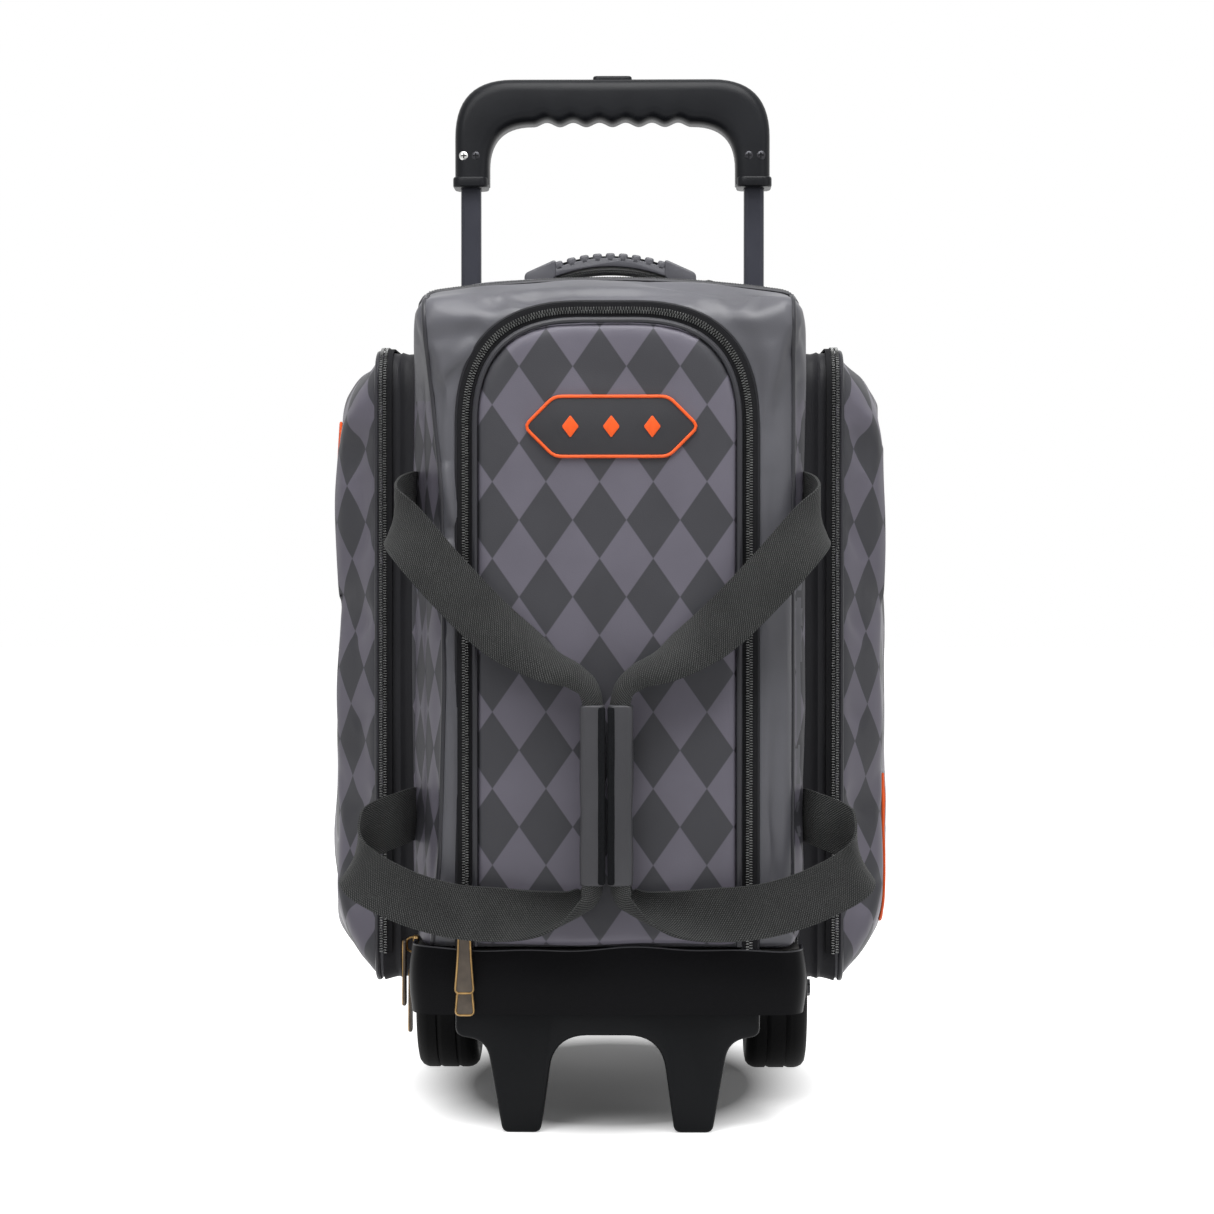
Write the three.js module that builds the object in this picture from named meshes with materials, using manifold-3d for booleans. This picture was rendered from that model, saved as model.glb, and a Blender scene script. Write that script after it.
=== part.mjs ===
// Two-ball rolling bowling bag: a soft body on a moulded base, with a telescoping trolley at the back,
// two wheels, two side pockets, a fold-down front with a zipped pocket, and a pair of webbing handles.
// Millimetres. +X is the bag's right seen from the front, +Y is towards the back, +Z is up.
// The origin is on the floor, at the middle of the whole bag's width and depth.

import * as THREE from "three";
import { mergeVertices } from "three/addons/utils/BufferGeometryUtils.js";
import Module from "manifold-3d";

const wasm = await Module();
wasm.setup();

// ---------- Driving dimensions ----------

const gap = 0.3; // between pieces that touch
const seat = 0.15; // gap on each face of a piece that is held on both sides

// Wheels
const wheelRadius = 63.5;
const wheelWidth = 48;
const wheelY = 118;
const rimRadius = 46;
const axleRadius = 4;
const axleClearance = 0.3;
const bushRadius = 11;
const cheek = 5; // bracket plate
const bossWidth = 9;
const bossGap = 1.3; // between a bracket's boss and its wheel
const mudguardThick = 2.4;
const mudguardGap = 2.3;

// Body
const bodyWidth = 272;
const bodyHeight = 478;
const bodyHalf = bodyWidth / 2;
const shellWall = 5;
const shellBottom = 2 * wheelRadius + mudguardGap + mudguardThick + gap;
const shellTop = shellBottom + bodyHeight;
const rimY = -90; // plane where the fold-down front meets the shell
const shellBack = 106;
const edgeRound = 10;

// Fold-down front
const frontWall = 4;
const frontDepth = 70;
const shoulderFall = 18; // how far the sloped shoulder drops over the front's depth
const frontFace = rimY - frontDepth;
const shoulderTop = shellTop - 4; // height of the shoulder at the rim
const frontTopEdge = shoulderTop - shoulderFall;
const skirtBottom = shellBottom - 57;
const skirtThick = 3;
const skirtHalf = bodyHalf - edgeRound;

// Arched pocket on the front
const archHalf = 94;
const archTop = frontTopEdge - 12;
const archBottom = shellBottom + 2;
const archCorner = 74;
const pocketPad = 12; // how far the padded pocket stands off the front
const coilWidth = 11.4;
const coilThick = 4.2;
const coilFoot = shellBottom - 16; // the zip's lower ends, on the skirt

// Base
const boardThick = 4.4;
const baseDepth = 39;
const baseTop = shellBottom - 2 * gap - boardThick;
const baseBottom = baseTop - baseDepth;
const baseWall = 3;
const baseFront = frontFace + skirtThick + gap;
const baseHalf = bodyHalf;
const wheelCentreX = bodyHalf - 6.4;
const bayFront = wheelY - wheelRadius - 8.5; // where the base narrows to make room for the wheels
const bayHalf = wheelCentreX - wheelWidth / 2 - bossGap - bossWidth - gap;

// Front feet
const footHalf = 108;
const footSpacing = 122;
const footBeam = 18.7;
const footBeamBottom = baseBottom - gap - footBeam;
const footFront = frontFace + 8;
const footDepth = 44;

// Trolley
const tubeX = bodyHalf - 23; // from the middle to a tube's centre
const tubeY = shellBack + 12;
const upperTube = { wide: 16, deep: 11, wall: 1.2 };
const slideClearance = 0.5;
const midWall = 1.5;
const outerWall = 1.5;
const outerTubeBottom = shellBottom + 8;
const outerTubeTop = shellTop - 6;
const bezelTop = shellTop + 1;
const midTubeBottom = outerTubeBottom + 10;
const midTubeTop = bezelTop + 2;
const upperTubeBottom = outerTubeBottom + 110;
const gripBottom = bezelTop + 94.6; // at the half-raised rest position
const gripUnderside = gripBottom + 48;
const gripTop = gripUnderside + 36.1;
const upperTubeTop = gripBottom + 16.4;
const gripHalf = tubeX + 12.5;
const gripInnerHalf = tubeX - 15;
const gripDepth = 32;
const gripOuterCorner = 46;
const gripInnerCorner = 36;
const fingerWaves = 6;
const fingerPitch = 22;
const fingerDepth = 3.5;
const buttonLength = 31;
const buttonWidth = 14;
const buttonProud = 3;
const buttonTravel = 4;
const screwHeight = gripBottom + 22.4;
const backCoverY = shellBack + 27;

// Side pockets
const pocketFront = -78;
const pocketBack = shellBack - 6;
const pocketBottom = shellBottom - 37;
const pocketTop = shellTop - 48;
const hoopDepth = 30;
const hoopOuter = bodyHalf + hoopDepth; // how far from the middle the zipped edge lies
const hoopWall = 3;
const coverDepth = 38;
const coverOuter = hoopOuter + coverDepth;
const coverWall = 3;
const coverDome = 34;

// Carrying handles
const webbing = 38;
const webbingThick = 2;
const sleeveTop = 306;
const sleeveBottom = 181;
const sleeveBack = frontFace - 20;
const sleeveFront = sleeveBack - 24;
const sleeveWidth = 17;
const sleeveWall = 2;
const anchorY = rimY - 14; // where the webbing's ends are sewn to the front's sides

// Zip sliders
const sliderLength = 15;
const sliderWidth = 10;
const sliderThick = 4.6;
const pullLength = 48;
const pullWidth = 13;
const pullThick = 2.5;

// ---------- Materials ----------

const finish = (color, roughness, metalness = 0) =>
  new THREE.MeshStandardMaterial({ color, roughness, metalness });
const coatedFabric = finish(0x58585c, 0.45);
const blackFabric = finish(0x1b1b1e, 0.6);
const blackWebbing = finish(0x2b2c2d, 0.8);
const blackPlastic = finish(0x1d1e20, 0.45);
const greyRubber = finish(0x56565a, 0.6);
const orangeRubber = finish(0xf06022, 0.5);
const foam = finish(0x333336, 0.9);
const board = finish(0x3a3a3a, 0.8);
const blackAluminium = finish(0x34343a, 0.35, 0.7);
const steel = finish(0x9a9a9c, 0.3, 0.9);
const brass = finish(0x8a6a3c, 0.35, 0.9);
const tyreRubber = finish(0x151515, 0.7);

// ---------- Building blocks ----------

// Turns a closed geometry's faces outwards if they point in.
function outward(geometry) {
  const flat = geometry.index ? geometry.toNonIndexed() : geometry;
  const p = flat.getAttribute("position");
  const [a, b, c] = [new THREE.Vector3(), new THREE.Vector3(), new THREE.Vector3()];
  let volume = 0;
  for (let i = 0; i < p.count; i += 3) {
    a.fromBufferAttribute(p, i);
    b.fromBufferAttribute(p, i + 1);
    c.fromBufferAttribute(p, i + 2);
    volume += a.dot(b.cross(c));
  }
  if (volume < 0) {
    for (let i = 0; i < p.count; i += 3) {
      a.fromBufferAttribute(p, i + 1);
      b.fromBufferAttribute(p, i + 2);
      p.setXYZ(i + 1, b.x, b.y, b.z);
      p.setXYZ(i + 2, a.x, a.y, a.z);
    }
  }
  return flat;
}

function solid(geometry) {
  const bare = outward(geometry).clone();
  for (const name of Object.keys(bare.attributes)) {
    if (name !== "position") bare.deleteAttribute(name);
  }
  const merged = mergeVertices(bare, 1e-3);
  return new wasm.Manifold(
    new wasm.Mesh({
      numProp: 3,
      vertProperties: new Float32Array(merged.attributes.position.array),
      triVerts: new Uint32Array(merged.index.array),
    }),
  );
}

function geometryOf(manifold) {
  const m = manifold.getMesh();
  const geometry = new THREE.BufferGeometry();
  geometry.setAttribute("position", new THREE.BufferAttribute(m.vertProperties, 3));
  geometry.setIndex(new THREE.BufferAttribute(m.triVerts, 1));
  const flat = geometry.toNonIndexed();
  flat.computeVertexNormals();
  return flat;
}

// A box from its lowest and highest corner.
function block(x0, x1, y0, y1, z0, z1) {
  return solid(
    new THREE.BoxGeometry(x1 - x0, y1 - y0, z1 - z0).translate(
      (x0 + x1) / 2, (y0 + y1) / 2, (z0 + z1) / 2,
    ),
  );
}

// A closed outline through corners [u, v, radius].
function outline(corners) {
  const shape = new THREE.Shape();
  const n = corners.length;
  corners.forEach(([u, v, radius = 0], i) => {
    const here = new THREE.Vector2(u, v);
    const before = new THREE.Vector2(...corners[(i + n - 1) % n]);
    const after = new THREE.Vector2(...corners[(i + 1) % n]);
    const from = here.clone().add(before.sub(here).setLength(radius));
    const to = here.clone().add(after.sub(here).setLength(radius));
    if (i === 0) shape.moveTo(from.x, from.y);
    else shape.lineTo(from.x, from.y);
    if (radius > 0) shape.quadraticCurveTo(u, v, to.x, to.y);
  });
  shape.closePath();
  return shape;
}

const rectangle = (u0, u1, v0, v1, radius = 0) =>
  outline([[u0, v0, radius], [u1, v0, radius], [u1, v1, radius], [u0, v1, radius]]);

// Extrudes a shape along an axis. The shape lies in YZ for x, in XZ for y and in XY for z.
const AXES = {
  x: new THREE.Matrix4().makeBasis(
    new THREE.Vector3(0, 1, 0), new THREE.Vector3(0, 0, 1), new THREE.Vector3(1, 0, 0),
  ),
  y: new THREE.Matrix4().makeBasis(
    new THREE.Vector3(1, 0, 0), new THREE.Vector3(0, 0, 1), new THREE.Vector3(0, -1, 0),
  ),
  z: new THREE.Matrix4(),
};
function prism(shape, axis, from, to, curve = 4) {
  const geometry = new THREE.ExtrudeGeometry(shape, {
    depth: to - from,
    curveSegments: curve,
    bevelEnabled: false,
  });
  geometry.translate(0, 0, axis === "y" ? -to : from);
  return solid(geometry.applyMatrix4(AXES[axis]));
}

// The same with both ends rounded over. section(inset) gives the outline drawn in by that much.
function cushion(section, axis, from, to, round, rings = 3, curve = 4) {
  const layers = [];
  for (let i = 0; i <= rings; i++) {
    const turn = (Math.PI / 2) * (i / rings);
    layers.push([round * (1 - Math.sin(turn)), round * (1 - Math.cos(turn))]);
  }
  const [low, high] = axis === "y" ? [-to, -from] : [from, to];
  const stack = [
    ...layers.map(([inset, in_]) => [inset, low + in_]),
    ...layers.map(([inset, in_]) => [inset, high - in_]).reverse(),
  ];
  const loops = stack.map(([inset]) => {
    const loop = section(inset).getPoints(curve).slice(0, -1);
    return THREE.ShapeUtils.isClockWise(loop) ? loop.reverse() : loop;
  });
  const n = loops[0].length;
  const points = loops.flatMap((loop, k) => loop.map((p) => new THREE.Vector3(p.x, p.y, stack[k][1])));
  const triangles = [];
  for (let k = 0; k + 1 < loops.length; k++) {
    for (let i = 0; i < n; i++) {
      const [p, q] = [k * n + i, k * n + ((i + 1) % n)];
      triangles.push([p, q, q + n], [p, q + n, p + n]);
    }
  }
  const caps = (k) => THREE.ShapeUtils.triangulateShape(loops[k], []).map((t) => t.map((i) => k * n + i));
  triangles.push(...caps(0).map(([a, b, c]) => [a, c, b]), ...caps(loops.length - 1));
  const geometry = new THREE.BufferGeometry().setFromPoints(points);
  geometry.setIndex(triangles.flat());
  return solid(geometry.applyMatrix4(AXES[axis]));
}

// A solid of revolution about a line parallel to an axis, from a profile [radius, along] that closes.
function turned(profile, axis, [x, y, z], sides = 24) {
  const points = [...profile, profile[0]].map(([r, a]) => new THREE.Vector2(r, a));
  const geometry = new THREE.LatheGeometry(points, sides);
  if (axis === "x") geometry.rotateZ(-Math.PI / 2);
  if (axis === "z") geometry.rotateX(Math.PI / 2);
  return solid(geometry.translate(x, y, z));
}

function rod(radius, axis, from, to, [x, y, z], sides = 16) {
  return turned([[0, from], [radius, from], [radius, to], [0, to]], axis, [x, y, z], sides);
}

// A band through stations {at, across, width, thick}, smoothed into a number of steps.
function band(stations, steps) {
  const last = stations.length - 1;
  const line = new THREE.CatmullRomCurve3(stations.map((s) => new THREE.Vector3(...s.at)));
  const sideways = new THREE.CatmullRomCurve3(
    stations.map((s) => new THREE.Vector3(...s.across)),
  );
  const rings = [];
  for (let i = 0; i <= steps; i++) {
    const t = i / steps;
    const k = Math.min(last - 1, Math.floor(t * last));
    const share = t * last - k;
    const blend = (key) => stations[k][key] * (1 - share) + stations[k + 1][key] * share;
    const along = line.getTangent(t);
    const across = sideways.getPoint(t);
    across.addScaledVector(along, -across.dot(along)).normalize();
    const out = new THREE.Vector3().crossVectors(across, along);
    const at = line.getPoint(t);
    for (const [u, v] of [[-0.5, -0.5], [0.5, -0.5], [0.5, 0.5], [-0.5, 0.5]]) {
      rings.push(
        at.clone()
          .addScaledVector(across, u * blend("width"))
          .addScaledVector(out, v * blend("thick")),
      );
    }
  }
  const triangles = [[0, 1, 2], [0, 2, 3]];
  for (let i = 0; i < steps; i++) {
    for (let c = 0; c < 4; c++) {
      const [p, q] = [4 * i + c, 4 * i + ((c + 1) % 4)];
      triangles.push([p, q + 4, q], [p, p + 4, q + 4]);
    }
  }
  const end = 4 * steps;
  triangles.push([end, end + 2, end + 1], [end, end + 3, end + 2]);
  const geometry = new THREE.BufferGeometry().setFromPoints(rings);
  geometry.setIndex(triangles.flat());
  return solid(geometry);
}

const bag = new THREE.Group();
function add(name, shape, material) {
  const mesh = new THREE.Mesh(geometryOf(shape), material);
  mesh.name = name;
  bag.add(mesh);
}

// Makes a piece on both sides: build(s) gets s = 1 for the right and s = -1 for the left.
function bothSides(name, build, material) {
  add(`${name}_right`, build(1), material);
  add(`${name}_left`, build(-1), material);
}

const mirrored = (shape, s) => (s > 0 ? shape : shape.mirror([1, 0, 0]));

// ---------- Body shell ----------

// The top slopes down to the front, in one line over the shell's rim and the fold-down front.
const shoulderSlope = shoulderFall / frontDepth;
const shoulderAt = (y) => Math.min(shellTop, shoulderTop + shoulderSlope * (y - rimY));
const shoulderEnd = rimY + (shellTop - shoulderTop) / shoulderSlope;

// The shell is open at the front. Its section is drawn in YZ and runs across the bag.
const backCorner = 8;
function shellSection(inset, front) {
  const [bottom, top, back] = [shellBottom + inset, shellTop - inset, shellBack - inset];
  return outline([
    [front, bottom], [back, bottom, backCorner], [back, top - 8, 14], [back - 26, top, 8],
    [shoulderEnd, top, 14], [front, shoulderTop + shoulderSlope * (front - rimY) - inset],
  ]);
}
const beyondRim = 30;
const bodyOuter = cushion((inset) => shellSection(inset, rimY - beyondRim), "x",
  -bodyHalf, bodyHalf, edgeRound);
const bodyInner = prism(shellSection(shellWall, rimY - 2 * beyondRim), "x",
  -bodyHalf + shellWall, bodyHalf - shellWall);
const aheadOfRim = block(-bodyWidth, bodyWidth, rimY - 4 * beyondRim, rimY, 0, 2 * shellTop);
add("main_shell", bodyOuter.subtract(bodyInner).subtract(aheadOfRim), coatedFabric);

// ---------- Fold-down front ----------

function frontSection(inset, back) {
  const face = frontFace + inset;
  return outline([
    [back, shellBottom + inset], [face, shellBottom + inset, 3],
    [face, frontTopEdge - inset, 12], [back, shoulderTop + shoulderSlope * (back - rimY) - inset],
  ]);
}
const frontOuter = cushion((inset) => frontSection(inset, rimY + beyondRim), "x",
  -bodyHalf, bodyHalf, edgeRound);
const frontInner = prism(frontSection(frontWall, rimY + 2 * beyondRim), "x",
  -bodyHalf + frontWall, bodyHalf - frontWall);
const behindRim = block(-bodyWidth, bodyWidth, rimY - gap, rimY + 4 * beyondRim, 0, 2 * shellTop);
add("front_panel", frontOuter.subtract(frontInner).subtract(behindRim), coatedFabric);

// Below the front hangs a stiff skirt. The front folds down about the skirt's lower edge.
add("front_skirt",
  block(-skirtHalf, skirtHalf, frontFace, frontFace + skirtThick, skirtBottom, shellBottom - gap),
  blackPlastic);

// The arch is drawn in XZ; grow is how far outside the pocket's own edge it lies.
function arch(grow, bottom = archBottom) {
  const half = archHalf + grow;
  return outline([
    [-half, bottom], [half, bottom],
    [half, archTop + grow, archCorner + grow], [-half, archTop + grow, archCorner + grow],
  ]);
}
const pocketFace = frontFace - gap;
add("front_pocket",
  cushion((inset) => arch(-inset), "y", pocketFace - pocketPad, pocketFace + pocketPad, 6, 2, 8)
    .subtract(block(-bodyHalf, bodyHalf, pocketFace, 0, 0, shellTop)),
  coatedFabric);
add("front_pocket_zip",
  prism(arch(gap + coilWidth, coilFoot), "y", pocketFace - coilThick, pocketFace, 8)
    .subtract(prism(arch(gap, 0), "y", pocketFace - 2 * coilThick, 0, 8)),
  blackFabric);

// Badges: an elongated hexagon, raised off the fabric, lying down or standing up.
function hexagon(length, width, standing = false) {
  const [l, w] = [length / 2, width / 2];
  const corners = [[-l, 0], [-l + w, -w], [l - w, -w], [l, 0], [l - w, w], [-l + w, w]];
  return outline(corners.map(([u, v]) => (standing ? [v, u, 3] : [u, v, 3])));
}
const badgeThick = 2.4;
const badgeFace = pocketFace - pocketPad - gap;
add("front_badge",
  prism(hexagon(122, 38), "y", badgeFace - badgeThick, badgeFace).translate([3, 0, 500]),
  orangeRubber);

// ---------- Main zip, half on the shell and half on the front ----------

const tapeWidth = 7.6;
const tapeThick = 2;
function tapeOverBody(y0, y1, bottom) {
  const [top, corner] = [shoulderAt(y1), edgeRound - 1];
  const hoop = (grow) =>
    outline([
      [-bodyHalf - grow, 0], [bodyHalf + grow, 0],
      [bodyHalf + grow, top + grow, corner], [-bodyHalf - grow, top + grow, corner],
    ]);
  return prism(hoop(gap + tapeThick), "y", y0, y1)
    .subtract(prism(hoop(gap), "y", y0 - 5, y1 + 5))
    .subtract(block(-bodyWidth, bodyWidth, y0 - 5, y1 + 5, 0, bottom));
}
const zipFoot = shellBottom - 34; // the shell half of the zip runs down beside the base
add("main_zip_shell_side", tapeOverBody(rimY + gap, rimY + gap + tapeWidth, zipFoot), blackFabric);
add("main_zip_front_side",
  tapeOverBody(rimY - gap - tapeWidth, rimY - gap, shellBottom + 1), blackFabric);

// ---------- Inside: foam that holds the two balls ----------

const ballRadius = 108.5;
const cupY = -10;
const cupHalf = bodyHalf - shellWall - gap;
const cupFront = rimY + 2;
const cupBack = shellBack - shellWall - backCorner;
function ballCup(bottom, thick, dishBottom) {
  const dish = turned(
    Array.from({ length: 13 }, (_, i) => {
      const a = (Math.PI * i) / 12;
      return [ballRadius * Math.sin(a), -ballRadius * Math.cos(a)];
    }),
    "z", [0, cupY, dishBottom + ballRadius], 24);
  return block(-cupHalf, cupHalf, cupFront, cupBack, bottom, bottom + thick).subtract(dish);
}
const lowerCupBottom = shellBottom + shellWall + gap;
const cupFloor = 8; // foam left under a ball
const lowerCupThick = 30;
const dividerThick = 22;
const dividerBottom = lowerCupBottom + cupFloor + 2 * ballRadius + 2;
add("ball_cup_lower", ballCup(lowerCupBottom, lowerCupThick, lowerCupBottom + cupFloor), foam);
add("ball_cup_upper", ballCup(dividerBottom, dividerThick, dividerBottom + cupFloor), foam);

// ---------- Base ----------

function basePlan(inset) {
  const [half, bay] = [baseHalf - inset, bayHalf - inset];
  return outline([
    [-half, baseFront + inset, 8], [half, baseFront + inset, 8], [half, bayFront - inset, 2],
    [bay, bayFront - inset, 2], [bay, shellBack - inset, 4], [-bay, shellBack - inset, 4],
    [-bay, bayFront - inset, 2], [-half, bayFront - inset, 2],
  ]);
}
add("base_tray",
  prism(basePlan(0), "z", baseBottom, baseTop)
    .subtract(prism(basePlan(baseWall), "z", baseBottom + baseWall, 2 * baseTop)),
  blackPlastic);
add("base_board", prism(basePlan(0), "z", baseTop + gap, baseTop + gap + boardThick), board);

// Feet: one moulding with a beam under the base and two tapered legs.
const legTop = 46; // across a leg where it leaves the beam
const legFoot = 27;
function footOutline() {
  const top = baseBottom - gap;
  const c = footSpacing / 2;
  const side = (s) => [
    [s * (c - legTop / 2), footBeamBottom, 24], [s * (c - legFoot / 2), 0, 4],
    [s * (c + legFoot / 2), 0, 4], [s * (c + legTop / 2 + 2), footBeamBottom - 4, 12],
  ];
  const right = [...side(1), [footHalf, footBeamBottom, 6], [footHalf, top]];
  const left = [[-footHalf, top], [-footHalf, footBeamBottom, 6], ...side(-1).reverse()];
  return outline([...left, ...right]);
}
add("front_feet", prism(footOutline(), "y", footFront, footFront + footDepth, 6), blackPlastic);

// ---------- Wheels ----------

const bayBack = wheelY + wheelRadius - 8; // back end of the wheel's mudguard
const bracketInner = bayHalf + gap;
const fenderBottom = 2 * wheelRadius + mudguardGap;
function wheelBracket(s) {
  const plate = prism(
    outline([
      [bayFront + 14, fenderBottom + mudguardThick], [wheelY - 16, wheelRadius - 12, 14],
      [wheelY + 16, wheelRadius - 12, 14], [bayBack - 30, fenderBottom + mudguardThick],
    ]),
    "x", bracketInner, bracketInner + cheek);
  const boss = rod(12, "x", bracketInner, bracketInner + bossWidth, [0, wheelY, wheelRadius], 20);
  const fender = block(bracketInner, bodyHalf - gap, bayFront + 14, bayBack,
    fenderBottom, fenderBottom + mudguardThick);
  const bore = rod(axleRadius + axleClearance, "x", 0, 2 * bodyHalf, [0, wheelY, wheelRadius]);
  return mirrored(plate.add(boss).add(fender).subtract(bore), s);
}
bothSides("wheel_bracket", wheelBracket, blackPlastic);

const wheelInner = wheelCentreX - wheelWidth / 2;
const wheelOuter = wheelCentreX + wheelWidth / 2;
bothSides("axle_bolt", (s) => {
  const head = rod(7, "x", wheelOuter + 1, wheelOuter + 5, [0, wheelY, wheelRadius], 6);
  const shank = rod(axleRadius, "x", bracketInner + 1, wheelOuter + 2, [0, wheelY, wheelRadius]);
  return mirrored(head.add(shank), s);
}, steel);

const shoulder = 9; // rounded edge of the tread
function wheelRing(profile, s, sides) {
  return turned(profile, "x", [s * wheelCentreX, wheelY, wheelRadius], sides);
}
const halfTread = wheelWidth / 2;
bothSides("tyre", (s) => wheelRing([
  [rimRadius, -halfTread + 3], [wheelRadius - shoulder, -halfTread],
  [wheelRadius - 2.6, -halfTread + 2.6], [wheelRadius, -halfTread + shoulder],
  [wheelRadius, halfTread - shoulder], [wheelRadius - 2.6, halfTread - 2.6],
  [wheelRadius - shoulder, halfTread], [rimRadius, halfTread - 3],
], s, 32), tyreRubber);
const hubWeb = 5;
const hubBarrel = 17;
bothSides("wheel_hub", (s) => wheelRing([
  [bushRadius + gap, -halfTread + 4], [hubBarrel, -halfTread + 4], [hubBarrel, -hubWeb],
  [rimRadius - 7, -hubWeb], [rimRadius - 5, -halfTread + 4], [rimRadius - gap, -halfTread + 4],
  [rimRadius - gap, halfTread - 4], [rimRadius - 5, halfTread - 4], [rimRadius - 7, hubWeb],
  [hubBarrel, hubWeb], [hubBarrel, halfTread - 4], [bushRadius + gap, halfTread - 4],
], s, 20), blackPlastic);
bothSides("wheel_bush", (s) => wheelRing([
  [axleRadius + axleClearance, -halfTread + 2], [bushRadius, -halfTread + 2],
  [bushRadius, halfTread - 2], [axleRadius + axleClearance, halfTread - 2],
], s, 14), steel);

// ---------- Trolley ----------

const midTube = {
  wide: upperTube.wide + 2 * (slideClearance + midWall),
  deep: upperTube.deep + 2 * (slideClearance + midWall),
  wall: midWall,
};
const outerTube = {
  wide: midTube.wide + 2 * (slideClearance + outerWall),
  deep: midTube.deep + 2 * (slideClearance + outerWall),
  wall: outerWall,
};
function tubePlan(size, grow = 0) {
  const [w, d] = [size.wide / 2 + grow, size.deep / 2 + grow];
  return rectangle(tubeX - w, tubeX + w, tubeY - d, tubeY + d, 3);
}
function tube(size, bottom, top) {
  return prism(tubePlan(size), "z", bottom, top, 2)
    .subtract(prism(tubePlan(size, -size.wall), "z", bottom - 5, top + 5, 2));
}
bothSides("outer_tube", (s) => mirrored(tube(outerTube, outerTubeBottom, outerTubeTop), s),
  blackAluminium);
bothSides("mid_tube", (s) => mirrored(tube(midTube, midTubeBottom, midTubeTop), s), blackAluminium);
bothSides("upper_tube", (s) => mirrored(tube(upperTube, upperTubeBottom, upperTubeTop), s),
  blackAluminium);

// The tubes stand on a tie bar that rests on the wheel brackets.
const tieBottom = fenderBottom + mudguardThick + gap;
add("trolley_foot",
  block(-bodyHalf + 6, bodyHalf - 6, shellBack + gap, backCoverY - 4, tieBottom, outerTubeBottom - gap),
  blackPlastic);

// The back cover is a shallow channel around the outer tubes.
const coverSkin = 3.5;
const coverSide = bodyHalf - 2;
add("back_cover",
  block(-coverSide, coverSide, shellBack + gap, backCoverY, shellBottom, outerTubeTop)
    .subtract(block(-coverSide + coverSkin, coverSide - coverSkin, 0, backCoverY - coverSkin, 0, shellTop)),
  blackFabric);

const openTube = (s, grow) => mirrored(
  prism(tubePlan(midTube, grow), "z", outerTubeTop - 5, bezelTop + 5, 2), s);
add("trolley_bezel",
  prism(rectangle(-coverSide, coverSide, shellBack - 4, backCoverY + 1, 5), "z",
    outerTubeTop + gap, bezelTop)
    .subtract(block(-bodyWidth, bodyWidth, 0, shellBack + gap, 0, shellTop + 0.2))
    .subtract(openTube(1, slideClearance))
    .subtract(openTube(-1, slideClearance)),
  blackPlastic);

// Grip: an arched handle moulded in two halves that meet in the middle of its depth.
function gripOutline(inset) {
  const shape = new THREE.Shape();
  const wavesHalf = (fingerWaves * fingerPitch) / 2;
  const [outer, inner] = [gripHalf - inset, gripInnerHalf + inset];
  const [top, under, bottom] = [gripTop - inset, gripUnderside + inset, gripBottom + inset];
  shape.moveTo(-outer, bottom);
  shape.lineTo(-outer, top - gripOuterCorner);
  shape.quadraticCurveTo(-outer, top, -outer + gripOuterCorner, top);
  shape.lineTo(outer - gripOuterCorner, top);
  shape.quadraticCurveTo(outer, top, outer, top - gripOuterCorner);
  shape.lineTo(outer, bottom);
  shape.lineTo(inner, bottom);
  shape.lineTo(inner, under - gripInnerCorner);
  shape.quadraticCurveTo(inner, under, wavesHalf, under);
  const stepsPerWave = 4;
  for (let i = 1; i < fingerWaves * stepsPerWave; i++) {
    const rise = Math.sin((Math.PI * i) / stepsPerWave);
    shape.lineTo(wavesHalf - (i * fingerPitch) / stepsPerWave, under + fingerDepth * rise * rise);
  }
  shape.lineTo(-wavesHalf, under);
  shape.quadraticCurveTo(-inner, under, -inner, under - gripInnerCorner);
  shape.lineTo(-inner, bottom);
  shape.closePath();
  return shape;
}
const gripFront = tubeY - gripDepth / 2;
const gripBack = tubeY + gripDepth / 2;
const yokeTop = gripTop - 16.7;
const yokeHeight = 8;
const cavityHalf = 9; // half depth of the hollow inside the grip
const cavityTop = gripTop - 8;
const cavityBottom = yokeTop - yokeHeight - buttonTravel - 1.5;
const legOuter = tubeX + 9;
const legInner = tubeX - 9;
const screwX = tubeX + 5;
const screwHead = { radius: 4, thick: 3 };
const shankRadius = 1.5;
const screwAt = (x, grow, length) =>
  rod(screwHead.radius + grow, "y", gripFront - 5 * grow, gripFront + screwHead.thick + grow, [x, 0, screwHeight], 12)
    .add(rod(shankRadius + grow, "y", gripFront + 1, gripFront + length + grow, [x, 0, screwHeight], 8));
const screwLength = 24;

function gripHollow() {
  const y0 = tubeY - cavityHalf;
  const y1 = tubeY + cavityHalf;
  let hollow = block(-legOuter + 4, legOuter - 4, y0, y1, cavityBottom, cavityTop);
  for (const s of [1, -1]) {
    hollow = hollow
      .add(mirrored(block(tubeX - 4, tubeX + 4, y0, y1, upperTubeTop - 1, cavityBottom + 1), s))
      .add(mirrored(prism(tubePlan(upperTube, gap), "z", gripBottom - 5, upperTubeTop + gap, 2), s));
  }
  for (const x of [screwX, -screwX]) hollow = hollow.add(screwAt(x, 0.2, screwLength));
  return hollow.add(prism(
    rectangle(-buttonLength / 2 - gap, buttonLength / 2 + gap, tubeY - buttonWidth / 2 - gap,
      tubeY + buttonWidth / 2 + gap, 5),
    "z", cavityTop - 2, gripTop + 5));
}
const gripRound = 7;
const gripSolid = cushion(gripOutline, "y", gripFront, gripBack, gripRound, 2, 6).subtract(gripHollow());
const half = (y0, y1) => block(-bodyWidth, bodyWidth, y0, y1, 0, 2 * gripTop);
add("grip_front", gripSolid.intersect(half(-bodyWidth, tubeY - seat)), blackPlastic);
add("grip_back", gripSolid.intersect(half(tubeY + seat, bodyWidth)), blackPlastic);
bothSides("grip_screw", (s) => screwAt(s * screwX, 0, screwLength), steel);

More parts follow.
